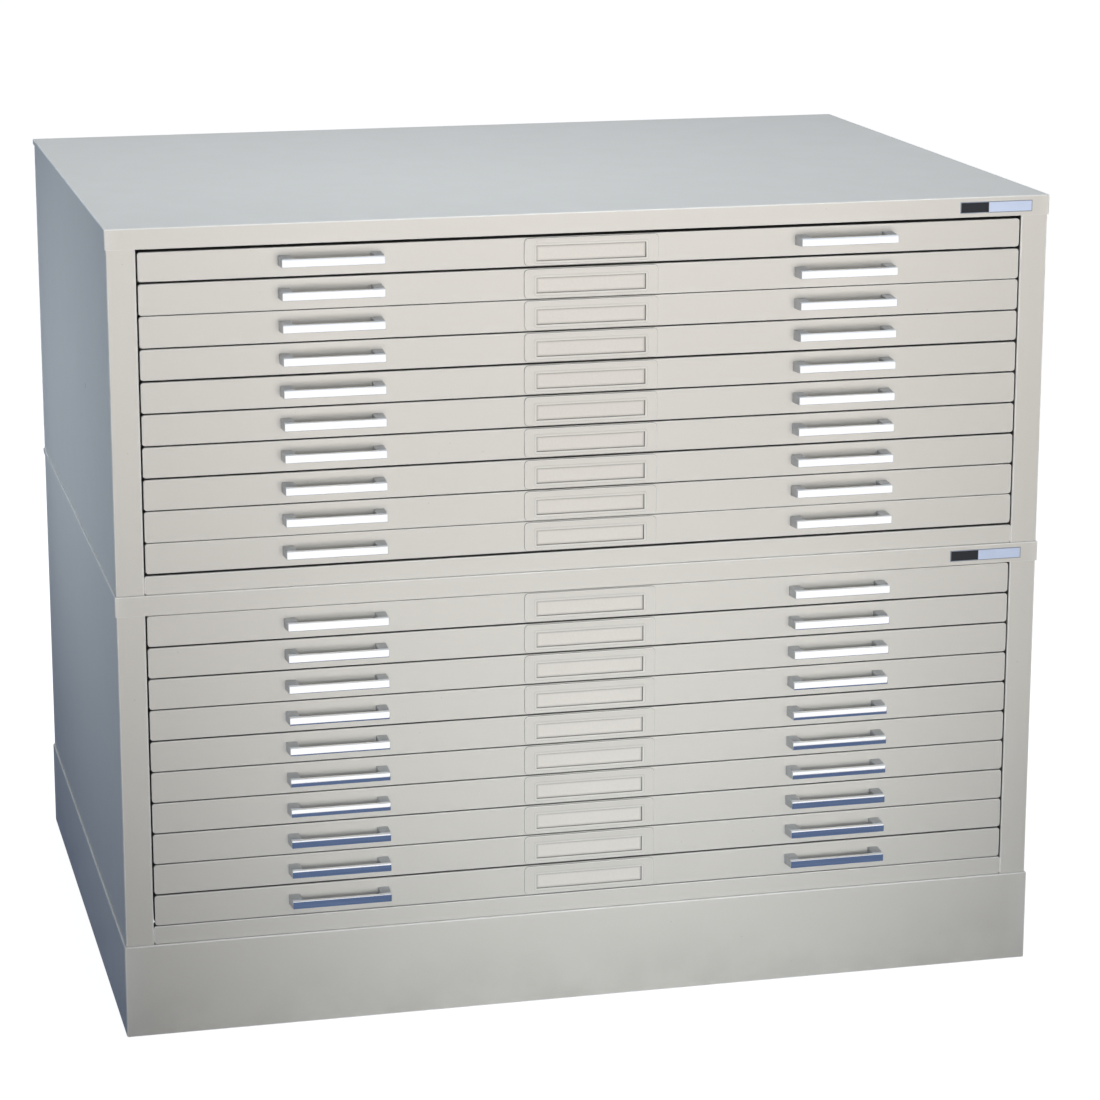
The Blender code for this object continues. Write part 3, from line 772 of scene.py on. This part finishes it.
def product(tree, result, *factors, clamp=False):
    """Multiply values from left to right and return the result, clamped at the last step if wanted."""
    for step, factor in enumerate(factors, start=1):
        result = maths(tree, "MULTIPLY", result, factor, clamp and step == len(factors))
    return result


def swing(tree, value, amount):
    """Turn a value about one half into one about zero, times an amount."""
    return product(tree, maths(tree, "SUBTRACT", value, 0.5), amount)


def ramp(tree, value, low, high, out_low=0.0, out_high=1.0):
    """Map a value smoothly from one range to another."""
    inputs = {0: value, 1: low, 2: high, 3: out_low, 4: out_high}
    return add_node(tree, "MapRange", inputs, interpolation_type="SMOOTHSTEP").outputs[0]


def noise(tree, vector, scale, detail, distortion=0.0):
    """Add a noise texture and return its value."""
    inputs = {"Vector": vector, "Scale": scale, "Detail": detail, "Distortion": distortion}
    return add_node(tree, "TexNoise", inputs).outputs[0]


def coloured(value):
    """A colour socket as it is, or three numbers made a colour."""
    return value if isinstance(value, bpy.types.NodeSocket) else (*value, 1.0)


def mix_colour(tree, factor, a, b):
    """Mix two colours and return the result."""
    inputs = {0: factor, 6: coloured(a), 7: coloured(b)}
    return add_node(tree, "Mix", inputs, data_type="RGBA").outputs[2]


def toned(tree, colour, tone):
    """Multiply a colour by a tone and return the result."""
    inputs = {0: colour, "Scale": tone}
    return add_node(tree, "VectorMath", inputs, operation="SCALE").outputs[0]


def feed(tree, sockets, **sources):
    """Link each source to the socket of its name."""
    for name, source in sources.items():
        tree.links.new(source, sockets[name])


def new_group(name, inputs, outputs):
    """Make a shader node group and return its tree, its given sockets and its sockets to link.

    Inputs are names and defaults, after a vector and a colour that every group is given. Four numbers
    make a colour, three a vector and one a value. The outputs are values, but for the one named Colour.
    """
    kinds = {1: "NodeSocketFloat", 3: "NodeSocketVector", 4: "NodeSocketColor"}
    tree = bpy.data.node_groups.new(name, "ShaderNodeTree")
    for label, default in {"Vector": (0, 0, 0), "Colour": GREY, **inputs}.items():
        kind = kinds[np.size(default)]
        tree.interface.new_socket(name=label, in_out="INPUT", socket_type=kind).default_value = default
    for label in outputs:
        kind = kinds[4 if label == "Colour" else 1]
        tree.interface.new_socket(name=label, in_out="OUTPUT", socket_type=kind)
    return tree, tree.nodes.new("NodeGroupInput").outputs, tree.nodes.new("NodeGroupOutput").inputs


def enamel_group():
    """Baked enamel: slow tone drift, fine pigment grain, rare specks, and orange peel as a height."""
    tree, given, out = new_group(
        "baked_enamel",
        {"Drift": 0.03, "Grain": 0.04, "Specks": 0.25, "Gloss": 0.34},
        ("Colour", "Roughness", "Height"),
    )
    vector = given["Vector"]
    drift = swing(tree, noise(tree, vector, scale=5.5, detail=3.0), given["Drift"])
    grain = swing(tree, noise(tree, vector, scale=620.0, detail=2.0), given["Grain"])
    tone = maths(tree, "ADD", maths(tree, "ADD", drift, grain), 1.0)
    cells = add_node(tree, "TexVoronoi", {"Vector": vector, "Scale": 85.0}).outputs
    pick = add_node(tree, "SeparateColor", {0: cells["Color"]}).outputs[0]
    chosen = maths(tree, "GREATER_THAN", pick, SPECK_FREE)
    near = ramp(tree, cells["Distance"], *SPECK_EDGE, 1.0, 0.0)
    speck = product(tree, chosen, near, given["Specks"])
    colour = mix_colour(tree, speck, toned(tree, given["Colour"], tone), SPECK)
    rubbed = swing(tree, noise(tree, vector, scale=23.0, detail=4.0), 0.10)
    rough = maths(tree, "ADD", given["Gloss"], rubbed, clamp=True)
    peel = noise(tree, vector, scale=260.0, detail=1.5)
    height = maths(tree, "SUBTRACT", peel, product(tree, speck, 0.5))
    feed(tree, out, Colour=colour, Roughness=rough, Height=height)


def low_down_group():
    """Darker towards the bottom: a mask that fades with height, broken up by noise."""
    tree, given, out = new_group(
        "handling_dirt",
        {"Reach": 0.08, "Amount": 0.12},
        ("Colour", "Mask"),
    )
    height = add_node(tree, "SeparateXYZ", {0: given["Vector"]}).outputs[2]
    low_down = ramp(tree, height, 0.0, given["Reach"], 1.0, 0.0)
    broken = ramp(tree, noise(tree, given["Vector"], scale=16.0, detail=5.0), 0.35, 0.7)
    mask = product(tree, low_down, broken, given["Amount"])
    feed(tree, out, Colour=mix_colour(tree, mask, given["Colour"], LOW_DOWN_TONE), Mask=mask)


def fold_and_gap_light_group():
    """Pale folds, part thin enamel and part painted highlight, and painted shade in gaps and hollow creases.
    Noise breaks both up.
    """
    tree, given, out = new_group(
        "folds_and_gaps",
        {"Edge": 0.0, "Hollow": 0.0, "Worn": 0.35, "Dark": 0.85},
        ("Colour", "Mask"),
    )
    broken = ramp(tree, noise(tree, given["Vector"], scale=42.0, detail=4.0), 0.2, 0.6, 0.5, 1.0)
    # Painted highlight on bulging folds, also standing for enamel worn thin there.
    pale = product(tree, ramp(tree, given["Edge"], 0.15, 0.95), broken, given["Worn"], clamp=True)
    # Painted shade in hollow creases, and from the hollow mark in the gaps.
    corner = ramp(tree, given["Edge"], -0.9, -0.1, 0.35, 0.0)
    deep = maths(tree, "MAXIMUM", given["Hollow"], corner)
    dark = product(tree, deep, given["Dark"], clamp=True)
    lightened = mix_colour(tree, pale, given["Colour"], THIN_ENAMEL_AND_HIGHLIGHT)
    colour = mix_colour(tree, dark, lightened, GAP_SHADE)
    feed(tree, out, Colour=colour, Mask=product(tree, dark, 0.4))


def metal_group():
    """Metal surface: fine lines along one axis, faint smears, and a height for the lines."""
    tree, given, out = new_group(
        "worked_metal",
        {"Stretch": (8.0, 900.0, 900.0), "Lines": 0.1, "Smears": 0.1, "Gloss": 0.2},
        ("Colour", "Roughness", "Height"),
    )
    inputs = {0: given["Vector"], 1: given["Stretch"]}
    stretched = add_node(tree, "VectorMath", inputs, operation="MULTIPLY").outputs[0]
    lines = noise(tree, stretched, scale=1.0, detail=2.0)
    smear = ramp(tree, noise(tree, given["Vector"], scale=38.0, detail=3.0), 0.45, 0.75)
    line_tone, smear_tone = swing(tree, lines, given["Lines"]), product(tree, smear, given["Smears"])
    tone = maths(tree, "SUBTRACT", maths(tree, "ADD", 1.0, line_tone), smear_tone)
    rough = maths(tree, "ADD", given["Gloss"], maths(tree, "ADD", line_tone, smear_tone), clamp=True)
    feed(tree, out, Colour=toned(tree, given["Colour"], tone), Roughness=rough, Height=lines)


def use_group(tree, group, vector, colour, **values):
    """Place the node group of a name in a material's tree and return its outputs."""
    inputs = {"Vector": vector, "Colour": coloured(colour), **values}
    return add_node(tree, "Group", inputs, node_tree=bpy.data.node_groups[group]).outputs


def principled_material(name, viewport):
    """New material with an Object coordinate output ready. Returns tree, coordinates and shader inputs."""
    material = bpy.data.materials.new(name)
    material.use_nodes = True
    material.diffuse_color = (*viewport, 1.0)
    tree = material.node_tree
    coordinates = add_node(tree, "TexCoord").outputs["Object"]
    return tree, coordinates, tree.nodes["Principled BSDF"].inputs


def link_surface(tree, shader, colour, roughness, height=None, depth=0.0):
    """Feed colour, roughness and a height of the given depth to the shader's inputs."""
    tree.links.new(colour, shader["Base Color"])
    tree.links.new(roughness, shader["Roughness"])
    if height is not None:
        bump = add_node(tree, "Bump", {"Height": height, "Strength": 1.0, "Distance": depth})
        tree.links.new(bump.outputs[0], shader["Normal"])


def point_mark(tree, name):
    """A number that the mesh keeps for each point."""
    return add_node(tree, "Attribute", attribute_name=name).outputs["Fac"]


def enamel_material(name, colour, gloss, darkening_reach, dirt, worn=0.0):
    """Baked enamel over steel, darker from a height downwards.

    With wear and sheen above 0, the enamel shows the marks that the piece keeps of its folds and gaps: pale
    folds, part wear and part painted highlight, and painted shade in the gaps.
    """
    tree, coordinates, shader = principled_material(name, colour)
    enamel = use_group(tree, "baked_enamel", coordinates, colour, Gloss=gloss)
    last = use_group(tree, "handling_dirt", coordinates, enamel["Colour"], Reach=darkening_reach, Amount=dirt)
    # Pale folds, part wear and part painted highlight, and painted shade in gaps and creases.
    if worn > 0:
        marks = {"Edge": point_mark(tree, "edge"), "Hollow": point_mark(tree, "hollow")}
        last = use_group(tree, "folds_and_gaps", coordinates, last["Colour"], Worn=worn, **marks)
    rough = maths(tree, "ADD", enamel["Roughness"], last["Mask"], clamp=True)
    link_surface(tree, shader, last["Colour"], rough, enamel["Height"], depth=0.00002)
    shader["IOR"].default_value = 1.5


def metal_material(name, colour, values, height):
    """Plated metal with its own values for the worked metal, whose lines have the height given."""
    tree, coordinates, shader = principled_material(name, colour)
    metal = use_group(tree, "worked_metal", coordinates, colour, **values)
    link_surface(tree, shader, metal["Colour"], metal["Roughness"], metal["Height"], height)
    shader["Metallic"].default_value = 1.0


def pull_material(name, polished, satin):
    """Pull: a mirror-bright plated bar on satin grey feet."""
    tree, coordinates, shader = principled_material(name, polished)
    common = {"tree": tree, "group": "worked_metal", "vector": coordinates, "Stretch": (10.0, 700.0, 700.0)}
    bright = use_group(colour=polished, Lines=0.015, Smears=0.03, Gloss=0.045, **common)
    dull = use_group(colour=satin, Lines=0.10, Smears=0.10, Gloss=0.42, **common)
    polish = ramp(tree, point_mark(tree, "polish"), 0.25, 0.75)
    colour = mix_colour(tree, polish, dull["Colour"], bright["Colour"])
    both = {0: polish, 2: dull["Roughness"], 3: bright["Roughness"]}
    rough = add_node(tree, "Mix", both, data_type="FLOAT").outputs[0]
    link_surface(tree, shader, colour, rough)
    shader["Metallic"].default_value = 1.0


def card_material(name, colour):
    """Uncoated card: fibres in two sizes and a faintly mottled tone."""
    tree, coordinates, shader = principled_material(name, colour)
    fibre = noise(tree, coordinates, scale=700.0, detail=4.0, distortion=1.5)
    paper = use_group(tree, "baked_enamel", coordinates, colour, Gloss=0.75, Grain=0.10, Specks=0.35)
    # Painted shade at the card's rim, below the pocket's walls.
    marks = {"Hollow": point_mark(tree, "hollow"), "Worn": 0.0, "Dark": 0.55}
    seated = use_group(tree, "folds_and_gaps", coordinates, paper["Colour"], **marks)
    link_surface(tree, shader, seated["Colour"], paper["Roughness"], fibre, depth=0.00002)


def plate_material(name, light, dark, box):
    """Bare plate: thin border, dark panel over the left two fifths, satin light panel over the rest."""
    tree, coordinates, shader = principled_material(name, light)
    left, right, low, high = box
    x, _, z = add_node(tree, "SeparateXYZ", {0: coordinates}).outputs
    panel = maths(tree, "GREATER_THAN", x, left + (right - left) * PLATE_DARK_SHARE)
    past_left = maths(tree, "GREATER_THAN", x, left + PLATE_BORDER)
    before_right = maths(tree, "LESS_THAN", x, right - PLATE_BORDER)
    from_edge = maths(tree, "PINGPONG", maths(tree, "SUBTRACT", z, low), (high - low) / 2)
    between = maths(tree, "GREATER_THAN", from_edge, PLATE_BORDER)
    inside = product(tree, past_left, before_right, between)
    values = {"Stretch": (30.0, 900.0, 900.0), "Lines": 0.08, "Smears": 0.05, "Gloss": 0.38}
    satin = use_group(tree, "worked_metal", coordinates, light, **values)
    faces = mix_colour(tree, panel, dark, satin["Colour"])
    rim = [0.35 * value + 0.05 for value in light]
    colour = mix_colour(tree, inside, rim, faces)
    link_surface(tree, shader, colour, satin["Roughness"], satin["Height"], depth=0.00001)
    shader["Specular IOR Level"].default_value = 0.3


def make_materials(scene):
    """Make the shared groups and every material once, and keep them by name."""
    if "case_enamel" in bpy.data.materials:
        return
    names = "enamel", "tray", "zinc", "chrome", "satin", "card", "plate_light", "plate_dark"
    enamel, tray, zinc, chrome, satin, card, light, dark = (
        tuple(getattr(scene.flat_file_colours, name)) for name in names
    )
    for make_group in (enamel_group, low_down_group, fold_and_gap_light_group, metal_group):
        make_group()
    # The case and the fronts paint highlight on folds, part thin enamel too, and shade in the gaps.
    enamel_material("case_enamel", enamel, gloss=0.30, darkening_reach=0.10, dirt=0.10, worn=0.70)
    enamel_material("front_enamel", enamel, gloss=0.33, darkening_reach=0.25, dirt=0.05, worn=0.50)
    enamel_material("tray_enamel", tray, gloss=0.45, darkening_reach=1.2, dirt=0.10)
    enamel_material("back_enamel", enamel, gloss=0.34, darkening_reach=0.10, dirt=0.10)
    steel = {"Stretch": (600.0, 5.0, 600.0), "Lines": 0.14, "Smears": 0.20, "Gloss": 0.34}
    metal_material("zinc_steel", zinc, steel, height=0.00001)
    pull_material("bright_chrome", chrome, satin)
    card_material("blank_card", card)
    for unit in UNITS:
        plate_material(unit + "_plate_faces", light, dark, plate_box(unit))


def plate_box(unit):
    """Left, right, lower and upper edge of the bare plate on a unit's header."""
    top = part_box(unit + "_cap")[1][2]
    return (*PLATE_X, top - PLATE_DROP[0], top - PLATE_DROP[1])


def material(name):
    """A material made by make_materials()."""
    make_materials(bpy.context.scene)
    return bpy.data.materials[name]


def front_edges(number):
    """Lower and upper edge of a drawer's front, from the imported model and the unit's uneven gaps.

    Two neighbouring fronts share a gap's difference from CAD_GAP. At the header and the rail the front
    takes all of it.
    """
    low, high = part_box("drawer_%02d_front" % number)
    gaps = GAPS_UPPER if number <= DRAWERS_PER_UNIT else GAPS_LOWER
    index = (number - 1) % DRAWERS_PER_UNIT
    above = (gaps[index] - CAD_GAP) * (1.0 if index == 0 else 0.5)
    below = (gaps[index + 1] - CAD_GAP) * (1.0 if index == DRAWERS_PER_UNIT - 1 else 0.5)
    return low[2] + below, high[2] - above


def front_face_y(number):
    """Where a front's face lies: its packed back edge less the pan's depth."""
    _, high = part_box("drawer_%02d_front" % number)
    return high[1] - bpy.context.scene.flat_file_drawer.pan_depth


def make_case_piece(node, suffix, *shells):
    """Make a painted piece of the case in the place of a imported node."""
    make_piece(node + suffix, shells, material("case_enamel"), "cabinet", [node])


class FLATFILE_OT_base(bpy.types.Operator):
    """Build the closed base with its flanges"""

    bl_idname = "flatfile.base"
    bl_label = "Base"

    def execute(self, context):
        make_case_piece("base", "_shell", base_shell(*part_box("base"), context.scene.flat_file_case))
        return {"FINISHED"}


class FLATFILE_OT_sides(bpy.types.Operator):
    """Build the side panels with their posts"""

    bl_idname = "flatfile.sides"
    bl_label = "Side panels"

    def execute(self, context):
        case = context.scene.flat_file_case
        for level, unit in enumerate(UNITS):
            for label, side in SIDES:
                node = "%s_side_%s" % (unit, label)
                seed = SIDE_SEEDS[0] + SIDE_SEEDS[1] * level + side
                make_case_piece(node, "_sheet", side_shell(*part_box(node), side, case, seed))
        return {"FINISHED"}


class FLATFILE_OT_caps(bpy.types.Operator):
    """Build the caps with roof, header and lips"""

    bl_idname = "flatfile.caps"
    bl_label = "Caps"

    def execute(self, context):
        case = context.scene.flat_file_case
        for level, unit in enumerate(UNITS):
            node = unit + "_cap"
            seed = CAP_SEEDS[0] + CAP_SEEDS[1] * level
            make_case_piece(node, "_sheet", *cap_shells(*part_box(node), case, seed))
        return {"FINISHED"}


class FLATFILE_OT_rails(bpy.types.Operator):
    """Build the bottom rails between the posts"""

    bl_idname = "flatfile.rails"
    bl_label = "Bottom rails"

    def execute(self, context):
        sizes = context.scene.flat_file_drawer
        for unit in UNITS:
            node = unit + "_bottom_rail"
            low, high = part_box(node)
            make_case_piece(node, "_pan", pan_shell(low, high, sizes, low[1]))
        return {"FINISHED"}


class FLATFILE_OT_plates(bpy.types.Operator):
    """Build the bare plates on the headers"""

    bl_idname = "flatfile.plates"
    bl_label = "Bare plates"

    def execute(self, context):
        for unit in UNITS:
            left, right, below, above = plate_box(unit)
            middle = ((left + right) / 2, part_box(unit + "_cap")[0][1], (below + above) / 2)
            shells = [plate_shell(middle, (right - left) / 2, (above - below) / 2)]
            make_piece(unit + "_plate", shells, material(unit + "_plate_faces"), "cabinet")
        return {"FINISHED"}


class FLATFILE_OT_fronts(bpy.types.Operator):
    """Build the twenty drawer fronts"""

    bl_idname = "flatfile.fronts"
    bl_label = "Drawer fronts"

    def execute(self, context):
        sizes = context.scene.flat_file_drawer
        window = window_ring(sizes, WINDOW_MARGIN)
        for number, body in enumerate(DRAWERS, start=1):
            node = body + "_front"
            low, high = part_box(node)
            bottom, top = front_edges(number)
            corners = (low[0], low[1], bottom), (high[0], high[1], top)
            shells = [pan_shell(*corners, sizes, front_face_y(number), window)]
            make_piece(body + "_panel", shells, material("front_enamel"), body, [node])
        return {"FINISHED"}


class FLATFILE_OT_holders(bpy.types.Operator):
    """Build the card holders and their blank cards"""

    bl_idname = "flatfile.holders"
    bl_label = "Card holders"

    def execute(self, context):
        sizes = context.scene.flat_file_drawer
        for number, body in enumerate(DRAWERS, start=1):
            bottom, top = front_edges(number)
            middle = (0.0, front_face_y(number), (bottom + top) / 2)
            holder, card = holder_shell(middle, top - bottom, sizes), card_shell(middle, sizes)
            make_piece(body + "_holder", [holder], material("front_enamel"), body)
            make_piece(body + "_card", [card], material("blank_card"), body)
        return {"FINISHED"}


class FLATFILE_OT_pulls(bpy.types.Operator):
    """Build the forty bar pulls"""

    bl_idname = "flatfile.pulls"
    bl_label = "Bar pulls"

    def execute(self, context):
        sizes = context.scene.flat_file_pull
        chrome = material("bright_chrome")
        for number, body in enumerate(DRAWERS, start=1):
            low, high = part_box(body + "_front")
            for label, side in SIDES:
                name = "%s_pull_%s" % (body, label)
                tilt = math.radians(sizes.play) * uneven(number, PULL_SEEDS[label])
                middle = (side * sizes.offset, front_face_y(number), (low[2] + high[2]) / 2 + sizes.lift)
                shells = pull_shells(middle, sizes, tilt)
                make_piece(name, shells, chrome, body, mark="polish")
        return {"FINISHED"}


class FLATFILE_OT_carried_nodes(bpy.types.Operator):
    """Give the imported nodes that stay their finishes"""

    bl_idname = "flatfile.carried_nodes"
    bl_label = "Trays, racks and backs"

    def execute(self, context):
        for name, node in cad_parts.items():
            if node.hide_render:
                continue
            finishes = [finish for part, finish in CARRIED_FINISHES.items() if part in name]
            if not finishes:
                raise RuntimeError("no finish is named for the packed node " + name)
            for slot in node.material_slots:
                slot.material = material(finishes[0])
        return {"FINISHED"}


class FLATFILE_OT_stage(bpy.types.Operator):
    """Set up floor, lights, surround and camera"""

    bl_idname = "flatfile.stage"
    bl_label = "Stage"

    def execute(self, context):
        scene = context.scene
        settings = scene.flat_file_stage
        make_floor()
        make_surround(scene, settings)
        (left, front, _), (right, back, _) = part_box("base")
        # Name, power, place, the point it faces, size, spread in degrees, tint
        lights = (
            ("front_light", settings.front_power, (0.09, -2.6, 0.97), (0.06, front, 1.38), 1.9, 59, WARM),
            ("low_light", settings.low_power, (-0.40, -2.6, 0.50), (0.06, front, 0.05), 0.8, 21.6, COLD),
            ("left_light", settings.left_power, (-1.60, 1.5, 0.30), (left, -0.25, 0.76), 0.5, 42, COOL),
            ("right_light", settings.right_power, (2.40, 0.40, 0.60), (right, 0.05, 0.45), 1.2, 90, WHITE),
            ("top_light", settings.top_power, (-0.12, -0.20, 3.2), (-0.12, -0.20, 0.0), 0.3, 80, SKY),
            ("back_light", settings.back_power, (0.0, 2.8, 0.50), (0.0, back, 0.45), 1.2, 90, WHITE),
        )
        for light in lights:
            add_light(*light)
        camera = new_object("camera", bpy.data.cameras.new("camera"))
        camera.location = CAMERA_PLACE
        camera.rotation_euler = [math.radians(angle) for angle in CAMERA_TURN]
        camera.data.sensor_width = SENSOR_WIDTH
        camera.data.lens = settings.lens
        camera.data.shift_x, camera.data.shift_y = CAMERA_SHIFT
        camera.data.clip_end = CAMERA_FAR
        scene.camera = camera
        scene.view_settings.view_transform = "Standard"
        return {"FINISHED"}


def add_light(name, power, place, target, size, spread, colour):
    """A square area light that faces a point and isn't mirrored, so that polished metal stays clear."""
    light = bpy.data.lights.new(name, "AREA")
    light.size = size
    light.spread = math.radians(spread)
    light.energy = power
    light.color = colour
    obj = new_object(name, light)
    obj.visible_glossy = False
    obj.location = place
    obj.rotation_euler = (Vector(place) - Vector(target)).to_track_quat("Z", "Y").to_euler()


def by_ray(tree, others, mirrored, seen):
    """Mix shaders: one that the camera sees, one that mirrors show, and one for all other rays."""
    path = add_node(tree, "LightPath").outputs
    mixed = add_node(tree, "MixShader", {0: path["Is Glossy Ray"], 1: others, 2: mirrored}).outputs[0]
    return add_node(tree, "MixShader", {0: path["Is Camera Ray"], 1: mixed, 2: seen}).outputs[0]


def make_floor():
    """Pale floor that fades to white for the camera, and is slate near the cabinet in reflections."""
    grid = np.linspace(-FLOOR_REACH, FLOOR_REACH, 3)
    points = points_from(grid[:, None], grid, -FLOOR_DROP).reshape(-1, 3)
    mesh = bpy.data.meshes.new("floor")
    mesh.from_pydata(points.tolist(), [], grid_quads(3, 3, False, False).tolist())
    floor = new_object("floor", mesh)
    made = bpy.data.materials.new("studio_floor")
    made.use_nodes = True
    tree = made.node_tree
    tree.nodes.clear()
    coordinates = add_node(tree, "TexCoord").outputs["Object"]
    distance = add_node(tree, "SeparateXYZ", {0: coordinates}).outputs[1]
    tone = ramp(tree, noise(tree, coordinates, scale=9.0, detail=3.0), 0.2, 0.8)
    slate = mix_colour(tree, tone, SLATE_DARK, SLATE_LIGHT)
    away = mix_colour(tree, ramp(tree, distance, *SLATE_EDGE), WHITE, slate)
    mirrored, white = (
        add_node(tree, "Emission", {"Color": colour, "Strength": strength}).outputs[0]
        for colour, strength in ((away, MIRRORED_GLOW), (coloured(WHITE), FLOOR_GLOW))
    )
    plain, pale = (
        add_node(tree, "BsdfDiffuse", {"Color": coloured(colour)}).outputs[0]
        for colour in (FLOOR_LIT, FLOOR_SEEN)
    )
    seen = add_node(tree, "AddShader", {0: pale, 1: white}).outputs[0]
    add_node(tree, "OutputMaterial", {0: by_ray(tree, plain, mirrored, seen)})
    mesh.materials.append(made)


def make_surround(scene, settings):
    """Light from all round, dimmer and cooler on the left, and plain white where the camera looks past."""
    world = bpy.data.worlds.new("surround")
    scene.world = world
    world.use_nodes = True
    tree = world.node_tree
    tree.nodes.clear()
    direction = add_node(tree, "TexCoord").outputs["Generated"]
    sideways = add_node(tree, "SeparateXYZ", {0: direction}).outputs[0]
    to_left = ramp(tree, sideways, -0.9, 0.2, 1.0, 0.0)
    tint = mix_colour(tree, to_left, *SURROUND_TINTS)
    kinds = (tint, settings.sky_strength), (tint, MIRRORED_SURROUND), (coloured(WHITE), 1.0)
    shaders = [
        add_node(tree, "Background", {"Color": colour, "Strength": strength}).outputs[0]
        for colour, strength in kinds
    ]
    add_node(tree, "OutputWorld", {0: by_ray(tree, *shaders)})


class FLATFILE_PT_panel(bpy.types.Panel):
    """Lists the sizes, the colours and the steps that build the cabinet"""

    bl_idname = "FLATFILE_PT_panel"
    bl_label = "Flat File Cabinet"
    bl_space_type = "VIEW_3D"
    bl_region_type = "UI"
    bl_category = "Flat File"

    def draw(self, context):
        layout = self.layout
        for attribute, group in SETTINGS:
            box = layout.box()
            for name in group.__annotations__:
                box.prop(getattr(context.scene, attribute), name)
        for operator in OPERATORS:
            layout.operator(operator.bl_idname)


SETTINGS = (
    ("flat_file_case", CaseSizes),
    ("flat_file_drawer", DrawerSizes),
    ("flat_file_pull", PullSizes),
    ("flat_file_colours", FinishColours),
    ("flat_file_stage", StageSettings),
)
OPERATORS = (
    FLATFILE_OT_stage,
    FLATFILE_OT_base,
    FLATFILE_OT_sides,
    FLATFILE_OT_caps,
    FLATFILE_OT_rails,
    FLATFILE_OT_plates,
    FLATFILE_OT_fronts,
    FLATFILE_OT_holders,
    FLATFILE_OT_pulls,
    FLATFILE_OT_carried_nodes,
)


def register():
    """Register the settings, the operators and the panel."""
    for attribute, group in SETTINGS:
        bpy.utils.register_class(group)
        setattr(bpy.types.Scene, attribute, PointerProperty(type=group))
    for cls in (*OPERATORS, FLATFILE_PT_panel):
        bpy.utils.register_class(cls)


def unregister():
    """Remove everything that register() added."""
    for cls in (FLATFILE_PT_panel, *reversed(OPERATORS)):
        bpy.utils.unregister_class(cls)
    for attribute, group in reversed(SETTINGS):
        delattr(bpy.types.Scene, attribute)
        bpy.utils.unregister_class(group)


def main():
    """Build everything in order."""
    register()
    bpy.ops.flatfile.stage()
    bpy.ops.flatfile.base()
    bpy.ops.flatfile.sides()
    bpy.ops.flatfile.caps()
    bpy.ops.flatfile.rails()
    bpy.ops.flatfile.plates()
    bpy.ops.flatfile.fronts()
    bpy.ops.flatfile.holders()
    bpy.ops.flatfile.pulls()
    bpy.ops.flatfile.carried_nodes()
    bpy.context.view_layer.update()


if __name__ == "__main__":
    main()
